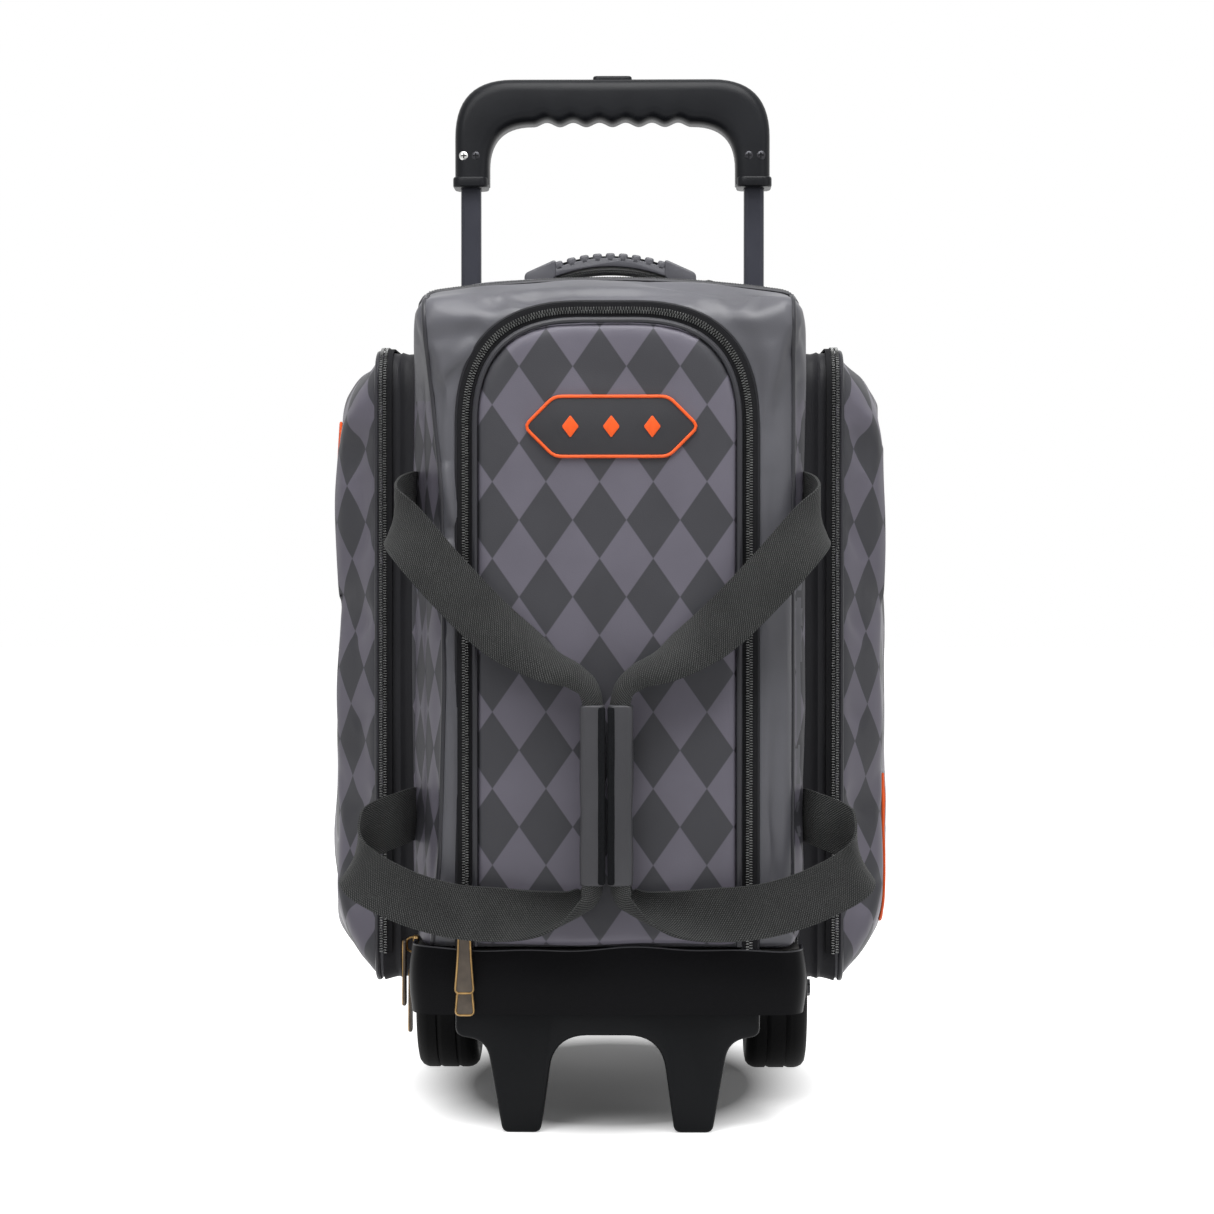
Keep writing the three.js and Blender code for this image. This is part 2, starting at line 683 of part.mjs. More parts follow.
const buttonPlan = (inset) => rectangle(
  -buttonLength / 2 + inset, buttonLength / 2 - inset,
  tubeY - buttonWidth / 2 + inset, tubeY + buttonWidth / 2 - inset, 4);
add("release_button", cushion(buttonPlan, "z", yokeTop + gap, gripTop + buttonProud, 1.5, 1), blackPlastic);
const pushRodRadius = 2.4;
const pushRodBottom = upperTubeBottom + 6;
add("release_yoke",
  block(-tubeX - 3, tubeX + 3, tubeY - 4, tubeY + 4, yokeTop - yokeHeight, yokeTop)
    .add(rod(pushRodRadius, "z", pushRodBottom, yokeTop - 2, [tubeX, tubeY, 0], 10))
    .add(rod(pushRodRadius, "z", pushRodBottom, yokeTop - 2, [-tubeX, tubeY, 0], 10)),
  blackPlastic);

// ---------- Top carrying grip ----------

const topGripHalf = 64;
const topGripTop = shellTop + 29;
const topGripThick = 11;
const topGripWide = 26;
const topGripY = 6;
const strapHalf = 86;
const bow = 16; // how much the middle of the grip stands above its ends
function bowedBand(halfLength, top, thick) {
  const shape = new THREE.Shape();
  const n = 12;
  const height = (x) => top - bow * (x / topGripHalf) ** 2;
  for (let i = 0; i <= n; i++) {
    const x = -halfLength + (2 * halfLength * i) / n;
    if (i === 0) shape.moveTo(x, height(x));
    else shape.lineTo(x, height(x));
  }
  for (let i = n; i >= 0; i--) {
    const x = -halfLength + (2 * halfLength * i) / n;
    shape.lineTo(x, height(x) - thick);
  }
  shape.closePath();
  return shape;
}
const strapThick = 2.5;
add("top_grip",
  prism(bowedBand(topGripHalf, topGripTop, topGripThick - strapThick - gap), "y",
    topGripY - topGripWide / 2, topGripY + topGripWide / 2),
  greyRubber);
add("top_grip_strap",
  prism(bowedBand(strapHalf, topGripTop - topGripThick + strapThick, strapThick), "y",
    topGripY - topGripWide / 2 + 2, topGripY + topGripWide / 2 - 2)
    .add(block(-strapHalf, -topGripHalf - 4, topGripY - 11, topGripY + 11, shellTop + gap, shellTop + 3))
    .add(block(topGripHalf + 4, strapHalf, topGripY - 11, topGripY + 11, shellTop + gap, shellTop + 3))
    .subtract(block(-bodyWidth, bodyWidth, -bodyWidth, bodyWidth, 0, shellTop + gap)),
  blackWebbing);

// ---------- Side pockets ----------

// The pocket's outline in YZ, with its lower back corner cut away over the wheel.
const cutFront = wheelY - wheelRadius - 19.5;
const cutTop = shellBottom + 18;
function pocketOutline(inset) {
  const [f, b, lo, hi] = [pocketFront + inset, pocketBack - inset, pocketBottom + inset, pocketTop - inset];
  const cut = inset * 0.4;
  return outline([
    [f, lo, 22], [cutFront - cut, lo, 10], [b, cutTop + cut, 10], [b, hi, 32], [f, hi, 32],
  ]);
}
const hoopInner = bodyHalf + gap;
bothSides("pocket_hoop", (s) => mirrored(
  prism(pocketOutline(0), "x", hoopInner, hoopOuter - seat)
    .subtract(prism(pocketOutline(hoopWall), "x", 0, bodyWidth)), s), blackFabric);

const dome = (wall, out) => cushion(
  (inset) => pocketOutline(wall + inset), "x", hoopOuter - 2 * coverDome, out, coverDome, 4);
bothSides("pocket_cover", (s) => mirrored(
  dome(0, coverOuter)
    .subtract(dome(coverWall, coverOuter - coverWall))
    .subtract(block(0, hoopOuter + seat, -bodyWidth, bodyWidth, 0, shellTop)), s), coatedFabric);

// The zip coil runs round the outside of the hoop, up the front, over the top and down the back.
const pocketZipFoot = pocketBottom + 65;
const pocketZipFrontFoot = pocketBottom + 23;
const pocketCoil = 7;
bothSides("pocket_zip", (s) => mirrored(
  prism(pocketOutline(-gap - 2.4), "x", hoopOuter - seat - pocketCoil, hoopOuter - seat)
    .subtract(prism(pocketOutline(-gap), "x", 0, bodyWidth))
    .subtract(block(0, bodyWidth, -bodyWidth, bodyWidth, 0, pocketZipFrontFoot))
    .subtract(block(0, bodyWidth, 0, bodyWidth, 0, pocketZipFoot)), s), blackFabric);

const badgeZ = { left: 455, right: 190 };
const sideBadgeY = (pocketFront + pocketBack) / 2;
function sideBadge(s, z) {
  const face = coverOuter + gap;
  return mirrored(
    prism(hexagon(114, 34, true), "x", face, face + badgeThick).translate([0, sideBadgeY, z]), s);
}
add("pocket_badge_right", sideBadge(1, badgeZ.right), orangeRubber);
add("pocket_badge_left", sideBadge(-1, badgeZ.left), orangeRubber);

// ---------- Carrying handles ----------

const sleeveMiddleY = (sleeveFront + sleeveBack) / 2;
const sleeveX = 9.7; // from the middle of the bag to the middle of a sleeve
const anchorX = bodyHalf + 1.5;
const folded = { width: 19, thick: 7 };
const open = { width: webbing, thick: webbingThick };
const upright = [0, 0, 1];
const inDepth = [0, 1, 0.001];
const front = sleeveMiddleY;
const handleStations = [
  { at: [anchorX + 1, anchorY, 451], across: upright, ...open },
  { at: [anchorX + 2, anchorY - 24, 451], across: upright, ...open },
  { at: [anchorX + 8.5, anchorY - 44, 446], across: [0.15, 0, 1], ...open },
  { at: [anchorX + 10.5, front + 24, 436], across: [0.35, 0, 0.95], ...open },
  { at: [anchorX - 4.5, front + 8, 417], across: [0.55, 0, 0.8], ...open },
  { at: [107, front + 2, 388], across: [0.62, 0, 0.75], ...open },
  { at: [76, front + 1, 358], across: [0.55, 0.25, 0.72], ...open },
  { at: [44, front, 338], across: [0.35, 0.75, 0.5], width: 28, thick: 3 },
  { at: [18, front, 324], across: inDepth, width: 19, thick: 5 },
  { at: [sleeveX, front, sleeveTop], across: inDepth, ...folded },
  { at: [sleeveX, front, (sleeveTop + sleeveBottom) / 2 + 0.5], across: inDepth, ...folded },
  { at: [sleeveX, front, sleeveBottom + 1], across: inDepth, ...folded },
  { at: [18, front, 166], across: [0, 0.9, 0.4], width: 19, thick: 5 },
  { at: [44, front, 160], across: [-0.1, 0.6, 0.8], width: 28, thick: 3 },
  { at: [76, front, 160], across: [0.05, 0.15, 1], ...open },
  { at: [110, front + 1, 163], across: [-0.1, 0, 1], ...open },
  { at: [anchorX + 7.5, front + 6, 174], across: [-0.3, 0, 0.95], ...open },
  { at: [anchorX + 32.5, front + 20, 190], across: [-0.35, 0, 0.95], ...open },
  { at: [anchorX + 28.5, anchorY - 42, 210], across: [-0.2, 0, 1], ...open },
  { at: [anchorX + 9, anchorY - 24, 222], across: upright, ...open },
  { at: [anchorX + 1, anchorY, 223], across: upright, ...open },
];
bothSides("handle_webbing", (s) => mirrored(band(handleStations, 60), s), blackWebbing);
bothSides("handle_sleeve", (s) => {
  const plan = (grow) => rectangle(
    sleeveX - sleeveWidth / 2 - grow, sleeveX + sleeveWidth / 2 + grow,
    sleeveFront - grow, sleeveBack + grow, 5 + grow);
  return mirrored(
    prism(plan(0), "z", sleeveBottom, sleeveTop, 3)
      .subtract(prism(plan(-sleeveWall), "z", 0, shellTop, 3)), s);
}, coatedFabric);

// ---------- Zip sliders and pulls ----------

// Made with the zip's face at x = 0, running along z, and standing off towards -y.
function sliderBody(standOff) {
  return block(-sliderWidth / 2, sliderWidth / 2, -sliderThick, 0, -sliderLength / 2, sliderLength / 2)
    .add(block(-1.8, 1.8, -standOff, -sliderThick + 1, 3, 6));
}
function pullTab() {
  const eye = 5;
  const paddle = outline([
    [-pullWidth / 2, -pullLength, 5], [pullWidth / 2, -pullLength, 5],
    [eye, -pullLength * 0.3, 6], [eye, 4, 3], [-eye, 4, 3], [-eye, -pullLength * 0.3, 6],
  ]);
  return prism(paddle, "y", -pullThick, 0);
}
const zipFace = pocketFace - coilThick - gap;
const frontZipX = -(archHalf + gap + coilWidth / 2);
const zips = {
  upper: { z: coilFoot + 30, standOff: 9.2, pullAt: 9.6 },
  lower: { z: coilFoot + 12, standOff: 5 },
};
const { upper, lower } = zips;
const withTab = ({ standOff }) => sliderBody(standOff).add(pullTab().translate([0, -standOff, 2]));
add("front_slider_upper", sliderBody(upper.standOff).translate([frontZipX, zipFace, upper.z]), brass);
add("front_pull_upper", pullTab().translate([frontZipX, zipFace - upper.pullAt, upper.z + 2]), brass);
add("front_slider_lower", withTab(lower).translate([frontZipX, zipFace, lower.z]), brass);
const sideFace = -(bodyHalf + gap + tapeThick + gap);
const onSide = (shape, z, out = 0) => shape.rotate([0, 0, -90]).translate([sideFace - out, rimY, z]);
const mainZ = { upper: zipFoot + 27, lower: zipFoot + 6 };
add("main_slider_upper", onSide(sliderBody(upper.standOff), mainZ.upper), brass);
add("main_pull_upper", onSide(pullTab(), mainZ.upper + 2, upper.pullAt), brass);
add("main_slider_lower", onSide(withTab(lower), mainZ.lower), brass);
const pocketSliderZ = pocketZipFoot + 25;
bothSides("pocket_slider", (s) => mirrored(
  withTab(lower).rotate([0, 0, 180])
    .translate([hoopOuter - seat - pocketCoil / 2, pocketBack + gap + 2.4 + gap, pocketSliderZ]), s), brass);

// The origin is midway between the handles in front and the backs of the wheels.
const whole = new THREE.Box3().setFromObject(bag);
bag.position.y = -(whole.min.y + whole.max.y) / 2;
export default bag;
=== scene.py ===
import math

import bmesh
import bpy
import numpy as np
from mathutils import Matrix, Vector, noise
from mathutils.bvhtree import BVHTree


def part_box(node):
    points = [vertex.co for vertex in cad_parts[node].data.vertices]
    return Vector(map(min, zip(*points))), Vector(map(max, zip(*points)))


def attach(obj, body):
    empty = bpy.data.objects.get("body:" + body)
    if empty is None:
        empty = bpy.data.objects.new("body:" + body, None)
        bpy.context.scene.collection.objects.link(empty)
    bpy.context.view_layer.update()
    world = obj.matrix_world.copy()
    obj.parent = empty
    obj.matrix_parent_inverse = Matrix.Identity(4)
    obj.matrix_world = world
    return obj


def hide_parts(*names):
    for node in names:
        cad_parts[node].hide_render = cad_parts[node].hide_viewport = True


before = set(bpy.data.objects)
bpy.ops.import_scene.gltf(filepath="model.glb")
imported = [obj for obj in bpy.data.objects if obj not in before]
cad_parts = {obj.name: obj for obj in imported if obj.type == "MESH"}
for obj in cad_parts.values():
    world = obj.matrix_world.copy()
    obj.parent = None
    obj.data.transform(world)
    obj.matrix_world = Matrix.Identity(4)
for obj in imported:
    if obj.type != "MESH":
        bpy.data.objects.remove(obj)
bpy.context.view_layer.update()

# A rolling bag for two bowling balls. Metres, +X right, +Y to the back, +Z up, the origin on the floor.

MM = 0.001
QUARTER = math.pi / 2
PATH_STEP = 4 * MM  # how far apart the points of a path lie unless a finer step is asked for
PAST_CUT = 0.03  # how far a soft box runs on beyond the plane it is cut off at
AXES = {"x": (1, 2, 0), "y": (0, 2, 1), "z": (0, 1, 2)}  # where an outline's u, its v and its depth go
SIDES = {"right": 1, "left": -1}


# ---------- Modelling ----------

def deselect():
    bpy.ops.object.select_all(action="DESELECT")


def take(piece):
    deselect()
    piece.select_set(True)
    bpy.context.view_layer.objects.active = piece


def named(name):
    piece = bpy.context.object
    piece.name = name
    piece.data.name = name
    return piece


def points_of(piece, what="co"):
    found = np.empty(len(piece.data.vertices) * 3, np.float32)
    piece.data.vertices.foreach_get(what, found)
    return found.reshape(-1, 3).astype(float)


def set_points(piece, points):
    piece.data.vertices.foreach_set("co", np.asarray(points, np.float32).ravel())
    piece.data.update()


def move_points(piece, rule):
    set_points(piece, rule(points_of(piece)))


def improve(piece, kind, **settings):
    take(piece)
    modifier = piece.modifiers.new(kind, kind)
    for key, value in settings.items():
        setattr(modifier, key, value)
    bpy.ops.object.modifier_apply(modifier=modifier.name)


def edit(piece):
    take(piece)
    bpy.ops.object.mode_set(mode="EDIT")
    bpy.ops.mesh.select_all(action="SELECT")


def leave():
    bpy.ops.object.mode_set(mode="OBJECT")


def outward(piece):
    edit(piece)
    bpy.ops.mesh.remove_doubles(threshold=1e-6)
    bpy.ops.mesh.dissolve_degenerate(threshold=1e-7)
    bpy.ops.mesh.select_all(action="SELECT")
    bpy.ops.mesh.normals_make_consistent(inside=False)
    leave()


def pick_faces(piece, test):
    """Opens edit mode with the faces selected whose middle and direction pass the test."""
    edit(piece)
    bpy.ops.mesh.select_mode(type="FACE")
    bpy.ops.mesh.select_all(action="DESELECT")
    mesh = bmesh.from_edit_mesh(piece.data)
    for face in mesh.faces:
        if test(face.calc_center_median(), face.normal):
            face.select_set(True)
    bmesh.update_edit_mesh(piece.data)


def cut_off(piece, spot, direction, fill=False):
    """Cuts the piece along a plane and drops what lies on the side that direction points to."""
    edit(piece)
    bpy.ops.mesh.bisect(plane_co=spot, plane_no=direction, clear_outer=True, use_fill=fill)
    leave()


def joined(parts):
    """Joins all parts into the first."""
    take(parts[0])
    for part in parts[1:]:
        part.select_set(True)
    bpy.ops.object.join()


def block(name, low, high, round_by=0.0, segments=3):
    deselect()
    low, high = Vector(low), Vector(high)
    bpy.ops.mesh.primitive_cube_add(size=1, location=(low + high) / 2, scale=high - low)
    piece = named(name)
    bpy.ops.object.transform_apply(location=True, rotation=True, scale=True)
    if round_by:
        edit(piece)
        bpy.ops.mesh.bevel(offset=round_by, segments=segments, affect="EDGES")
        leave()
    return piece


def rounded(corners, closed=True, steps=8):
    """Points of a line through corners (u, v, radius), each corner turned in a soft curve."""
    line = []
    count = len(corners)
    for i, (u, v, radius) in enumerate(corners):
        here = Vector((u, v))
        if radius == 0 or (not closed and i in (0, count - 1)):
            line.append(here)
            continue
        before = Vector(corners[i - 1][:2])
        after = Vector(corners[(i + 1) % count][:2])
        start = here + (before - here).normalized() * radius
        end = here + (after - here).normalized() * radius
        for k in range(steps + 1):
            t = k / steps
            line.append(start * (1 - t) ** 2 + here * 2 * t * (1 - t) + end * t ** 2)
    return np.array(line)


def evenly(line, pitch, closed=False):
    """The same line with its points about a pitch apart. Only the first three columns count as distance."""
    line = np.asarray(line, float)
    if closed:
        line = np.vstack([line, line[:1]])
    steps = np.linalg.norm(np.diff(line[:, :3], axis=0), axis=1)
    along = np.concatenate([[0], np.cumsum(steps)])
    marks = np.linspace(0, along[-1], max(2, round(along[-1] / pitch)) + 1)
    if closed:
        marks = marks[:-1]
    return np.column_stack([np.interp(marks, along, column) for column in line.T])


def arch(side, top, foot, corner):
    """The corners of an open arch, up one side and down the other."""
    return [(-side, foot, 0), (-side, top, corner), (side, top, corner), (side, foot, 0)]


def four_corners(low_u, low_v, high_u, high_v, radius, upper=None):
    """The corners of a rectangle; the upper two have a radius of their own if it is given."""
    upper = upper or radius
    return [(low_u, low_v, radius), (high_u, low_v, radius), (high_u, high_v, upper), (low_u, high_v, upper)]


def in_space(line, axis, depth):
    u, v, w = AXES[axis]
    spots = np.empty((len(line), 3))
    spots[:, u] = line[:, 0]
    spots[:, v] = line[:, 1]
    spots[:, w] = depth
    return spots


def plate(name, line, axis, low, high, round_by=0.0, steps=4, pitch=1.2 * MM):
    """A flat piece with a line for its outline, between two depths along an axis, its edges rounded."""
    line = evenly(line, pitch, closed=True)
    deselect()
    bpy.ops.mesh.primitive_circle_add(vertices=len(line), fill_type="NGON")
    piece = named(name)
    set_points(piece, in_space(line, axis, low + round_by))
    direction = Vector([1.0 if k == AXES[axis][2] else 0.0 for k in range(3)])
    edit(piece)
    travel = direction * (high - low - 2 * round_by)
    bpy.ops.mesh.extrude_region_move(TRANSFORM_OT_translate={"value": travel})
    bpy.ops.mesh.select_all(action="SELECT")
    bpy.ops.mesh.normals_make_consistent(inside=False)
    leave()
    for side in (1, -1) if round_by else ():
        pick_faces(piece, lambda centre, normal: normal.dot(direction) * side > 0.9)
        for k in range(steps):
            now, then = QUARTER * k / steps, QUARTER * (k + 1) / steps
            bpy.ops.mesh.inset(
                thickness=round_by * (math.cos(now) - math.cos(then)),
                depth=round_by * (math.sin(then) - math.sin(now)),
                use_even_offset=False,
            )
        leave()
    return piece


def turned(name, profile, axis, centre, steps=48):
    """A piece spun round an axis through a centre from a closed profile of (radius, along)."""
    deselect()
    bpy.ops.mesh.primitive_circle_add(vertices=len(profile), fill_type="NOTHING")
    piece = named(name)
    v, w = AXES[axis][1:]
    spots = np.tile(np.array(centre, float), (len(profile), 1))
    spots[:, v] += [radius for radius, _ in profile]
    spots[:, w] += [along for _, along in profile]
    set_points(piece, spots)
    direction = [1.0 if k == w else 0.0 for k in range(3)]
    edit(piece)
    bpy.ops.mesh.spin(steps=steps, angle=2 * math.pi, center=centre, axis=direction)
    leave()
    outward(piece)
    return piece


def loft(name, loops, ring=False, capped=True):
    """A skin over closed loops of as many points each. Its UV map measures along and around, in metres."""
    count, rows = len(loops[0]), len(loops)
    loops = np.asarray(loops, float)
    along = np.concatenate([[0], np.cumsum(np.linalg.norm(np.diff(loops.mean(1), axis=0), axis=1))])
    steps = np.linalg.norm(loops[rows // 2] - np.roll(loops[rows // 2], -1, axis=0), axis=1)
    around = np.concatenate([[0], np.cumsum(steps)])
    faces, cloth = [], []
    for k in range(rows if ring else rows - 1):
        n = (k + 1) % rows
        ahead = along[k + 1] if k + 1 < rows else along[k] + (along[1] - along[0])
        for i in range(count):
            j = (i + 1) % count
            faces.append((k * count + i, k * count + j, n * count + j, n * count + i))
            cloth += [(along[k], around[i]), (along[k], around[i + 1])]
            cloth += [(ahead, around[i + 1]), (ahead, around[i])]
    if capped and not ring:
        for first, order in ((0, -1), ((rows - 1) * count, 1)):
            faces.append(tuple(range(first, first + count))[::order])
            cloth += [(0.0, 0.0)] * count
    mesh = bpy.data.meshes.new(name)
    mesh.from_pydata(loops.reshape(-1, 3).tolist(), [], faces)
    layer = mesh.uv_layers.new(name="cloth")
    layer.data.foreach_set("uv", np.array(cloth, np.float32).ravel())
    piece = bpy.data.objects.new(name, mesh)
    bpy.context.scene.collection.objects.link(piece)
    edit(piece)
    bpy.ops.mesh.normals_make_consistent(inside=False)
    leave()
    return piece


def cushion(name, outline, axis, low, high, depth, rings=6):
    """A pad whose ends draw in along a quarter turn; outline(inset) gives its corners."""
    turns = [QUARTER * k / rings for k in range(rings + 1)]
    near = [(depth * (1 - math.sin(t)), low + depth * (1 - math.cos(t))) for t in turns]
    far = [(inset, low + high - at) for inset, at in reversed(near)]
    return loft(name, [in_space(rounded(outline(inset)), axis, at) for inset, at in near + far])


def headings(line, closed=False):
    ahead = np.roll(line, -1, 0) - np.roll(line, 1, 0)
    if not closed:
        ahead[0] = line[1] - line[0]
        ahead[-1] = line[-1] - line[-2]
    return ahead / np.linalg.norm(ahead, axis=1, keepdims=True)


def sweep(name, path, section, closed=False):
    """Carries a section of (across, out) along a path of rows (x, y, z, and the outward direction)."""
    line, out = path[:, :3], path[:, 3:6]
    across = np.cross(headings(line, closed), out)
    across /= np.linalg.norm(across, axis=1, keepdims=True)
    loops = [line + across * s + out * n for s, n in section]
    return loft(name, np.stack(loops, axis=1), ring=closed)


def round_section(radius, sides=8):
    turns = [2 * math.pi * k / sides for k in range(sides)]
    return [(radius * math.cos(t), radius * math.sin(t)) for t in turns]


def flat_section(low, high, bottom, top, edge=0.3 * MM):
    return [
        (low, bottom), (high, bottom), (high, top - edge), (high - edge, top),
        ((low + high) / 2, top), (low + edge, top), (low, top - edge),
    ]


def outline_path(line, axis, depth, pitch=PATH_STEP, closed=False):
    """A path along an outline drawn across an axis; outward is away from the outline's middle."""
    flat = evenly(line, pitch, closed)
    ahead = headings(flat, closed)
    out = np.column_stack([ahead[:, 1], -ahead[:, 0]])
    middle = flat.mean(0)
    if ((flat - middle) * out).sum() < 0:
        out = -out
    return np.column_stack([in_space(flat, axis, depth), in_space(out, axis, 0.0)])


def set_along(name, item, path):
    """One mesh of copies of a small item, one at each row of a path and turned with it."""
    spots = points_of(item)
    line, out = path[:, :3], path[:, 3:6]
    ahead = headings(line)
    across = np.cross(ahead, out)
    placed = (
        line[:, None]
        + ahead[:, None] * spots[None, :, 0:1]
        + across[:, None] * spots[None, :, 1:2]
        + out[:, None] * spots[None, :, 2:3]
    )
    faces = [tuple(p.vertices) for p in item.data.polygons]
    count = len(spots)
    mesh = bpy.data.meshes.new(name)
    copies = [tuple(v + k * count for v in face) for k in range(len(line)) for face in faces]
    mesh.from_pydata(placed.reshape(-1, 3).tolist(), [], copies)
    piece = bpy.data.objects.new(name, mesh)
    bpy.context.scene.collection.objects.link(piece)
    outward(piece)
    return piece


def ease(value):
    value = np.clip(value, 0, 1)
    return value * value * (3 - 2 * value)


def swell(piece, voxel, limit, freedom=None, pressure=4.0, slack=0.0):
    """Fills the piece with air like a cloth bag. freedom(points) says how far each may go, 0 to 1."""
    improve(piece, "REMESH", mode="VOXEL", voxel_size=voxel)
    before = points_of(piece)
    modifier = piece.modifiers.new("Cloth", "CLOTH")
    cloth = modifier.settings
    cloth.use_pressure = True
    cloth.uniform_pressure_force = pressure
    cloth.effector_weights.gravity = 0
    cloth.shrink_min = -slack
    modifier.point_cache.frame_end = 20
    for step in range(1, 21):
        bpy.context.scene.frame_set(step)
    take(piece)
    bpy.ops.object.modifier_apply(modifier=modifier.name)
    bpy.context.scene.frame_set(1)
    move = points_of(piece) - before
    far = np.linalg.norm(move, axis=1, keepdims=True)
    move *= np.minimum(1, limit / np.maximum(far, 1e-9))
    if freedom:
        move *= freedom(before)[:, None]
    set_points(piece, before + move)
    improve(piece, "SUBSURF", levels=1, render_levels=1)


def rumple(piece, size, depth, seed, freedom=None, squeeze=(1, 1, 1)):
    """Soft dents of about a size, pushed in along the surface."""
    spots, out = points_of(piece), points_of(piece, "normal")
    scale = np.array(squeeze) / size
    lift = np.array([noise.noise(Vector(p * scale) + Vector((seed, seed, seed))) for p in spots])
    lift *= depth
    if freedom:
        lift *= freedom(spots)
    set_points(piece, spots + out * lift[:, None])


def fold(piece, start, end, width, depth):
    """One crease pressed in from start to end; a negative depth raises a ridge."""
    spots, out = points_of(piece), points_of(piece, "normal")
    start, line = np.array(start), np.array(end) - np.array(start)
    share = np.clip((spots - start) @ line / (line @ line), 0, 1)
    gap = np.linalg.norm(spots - start - share[:, None] * line, axis=1)
    push = depth * np.exp(-((gap / width) ** 2)) * np.sqrt(np.sin(math.pi * share))
    set_points(piece, spots - out * push[:, None])


def unwrap(piece, rule):
    """Writes the piece's UV map from its points, in metres."""
    mesh = piece.data
    layer = mesh.uv_layers.get("cloth") or mesh.uv_layers.new(name="cloth")
    which = np.empty(len(mesh.loops), np.int32)
    mesh.loops.foreach_get("vertex_index", which)
    layer.data.foreach_set("uv", rule(points_of(piece))[which].astype(np.float32).ravel())


def hand_over(piece, body, slot, *materials, stands_for=(), smooth=40):
    take(piece)
    bpy.ops.object.shade_smooth_by_angle(angle=math.radians(smooth))
    if materials:
        piece.data.materials.clear()
        for material in materials:
            piece.data.materials.append(material)
    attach(piece, body)
    if stands_for:
        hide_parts(*stands_for)
    return piece


def paint(piece, index, test):
    for face in piece.data.polygons:
        if test(face.center, face.normal):
            face.material_index = index


def skin_of(name):
    mesh = bpy.data.objects[name].data
    return BVHTree.FromPolygons([v.co for v in mesh.vertices], [face.vertices for face in mesh.polygons])


def laid_on(skin, spots, out, lift):
    """Points moved along their outward directions until they lie a lift above a skin."""
    laid = spots.copy()
    for k, (spot, way) in enumerate(zip(spots, out)):
        hit = skin.ray_cast(Vector(spot + way * 0.05), Vector(-way), 0.1)[0]
        if hit:
            laid[k] = np.array(hit) + way * lift
    for _ in range(3):
        laid[1:-1] = (laid[:-2] + 2 * laid[1:-1] + laid[2:]) / 4
    return laid


def throw_away(piece):
    bpy.data.objects.remove(piece, do_unlink=True)


def carve(piece, tool):
    """Takes the tool's shape out of the piece and throws the tool away."""
    improve(piece, "BOOLEAN", operation="DIFFERENCE", object=tool, solver="EXACT")
    throw_away(tool)


def mirror_left(sign, *pieces):
    """Moves pieces made for the right side over to the left one where sign is negative."""
    for piece in pieces if sign < 0 else ():
        move_points(piece, lambda points: points * (-1, 1, 1))
        outward(piece)


def lay_cord(name, path, radius, body, material, closed=False, slot="black_fabric", sides=8):
    """A round cord along a path, handed over to its body."""
    piece = sweep(name, path, round_section(radius, sides), closed)
    return hand_over(piece, body, slot, material)


# ---------- Finishes ----------

def tone(red, green, blue):
    shares = [level / 255 for level in (red, green, blue)]
    return (*[((s + 0.055) / 1.055) ** 2.4 if s > 0.04 else s / 12.92 for s in shares], 1.0)


def put(tree, kind, inputs=None, **settings):
    node = tree.nodes.new(kind)
    for key, value in settings.items():
        setattr(node, key, value)
    for key, value in (inputs or {}).items():
        if isinstance(value, bpy.types.NodeSocket):
            tree.links.new(value, node.inputs[key])
        else:
            node.inputs[key].default_value = value
    return node


def calc(tree, operation, *values):
    return put(tree, "ShaderNodeMath", dict(enumerate(values)), operation=operation).outputs[0]


def between(tree, value, low, high, start=0.0, end=1.0):
    inputs = {"Value": value, "From Min": low, "From Max": high, "To Min": start, "To Max": end}
    return put(tree, "ShaderNodeMapRange", inputs, clamp=True).outputs["Result"]


def blended(tree, share, first, second):
    node = put(tree, "ShaderNodeMix", {0: share, 6: first, 7: second}, data_type="RGBA")
    return node.outputs[2]


def group(name, inputs, outputs):
    tree = bpy.data.node_groups.new(name, "ShaderNodeTree")
    for key, (kind, value) in inputs.items():
        socket = tree.interface.new_socket(key, in_out="INPUT", socket_type=kind)
        if value is not None:
            socket.default_value = value
    for key in outputs:
        tree.interface.new_socket(key, in_out="OUTPUT", socket_type="NodeSocketFloat")
    return tree, tree.nodes.new("NodeGroupInput").outputs, tree.nodes.new("NodeGroupOutput").inputs


NUMBER, SPOT = "NodeSocketFloat", "NodeSocketVector"
DIAMOND_WIDE, DIAMOND_TALL = 0.0376, 0.0538
PRINT_X, PRINT_Z = 0.024, 0.4615  # the front's print: its shift, and the height of a diamond's middle


def make_clouding():
    """Slow, uneven change over a surface, as of handling and dye."""
    tree, given, result = group("clouding", {"Position": (SPOT, None), "Size": (NUMBER, 0.05)}, ["Mask"])
    scale = calc(tree, "DIVIDE", 1.0, given["Size"])
    broad = put(tree, "ShaderNodeTexNoise", {"Vector": given["Position"], "Scale": scale, "Detail": 3.0})
    tree.links.new(between(tree, broad.outputs["Fac"], 0.3, 0.7), result["Mask"])
    return tree


def make_grain():
    """Fine pebbles of coated cloth, rubber or moulded plastic."""
    tree, given, result = group("grain", {"Position": (SPOT, None), "Size": (NUMBER, 0.001)}, ["Height"])
    scale = calc(tree, "DIVIDE", 1.0, given["Size"])
    pebble = put(tree, "ShaderNodeTexVoronoi", {"Vector": given["Position"], "Scale": scale}, feature="F1")
    haze = put(tree, "ShaderNodeTexNoise", {"Vector": given["Position"], "Scale": scale, "Detail": 2.0})
    both = calc(tree, "ADD", pebble.outputs["Distance"], haze.outputs["Fac"])
    tree.links.new(calc(tree, "MULTIPLY", both, 0.6), result["Height"])
    return tree


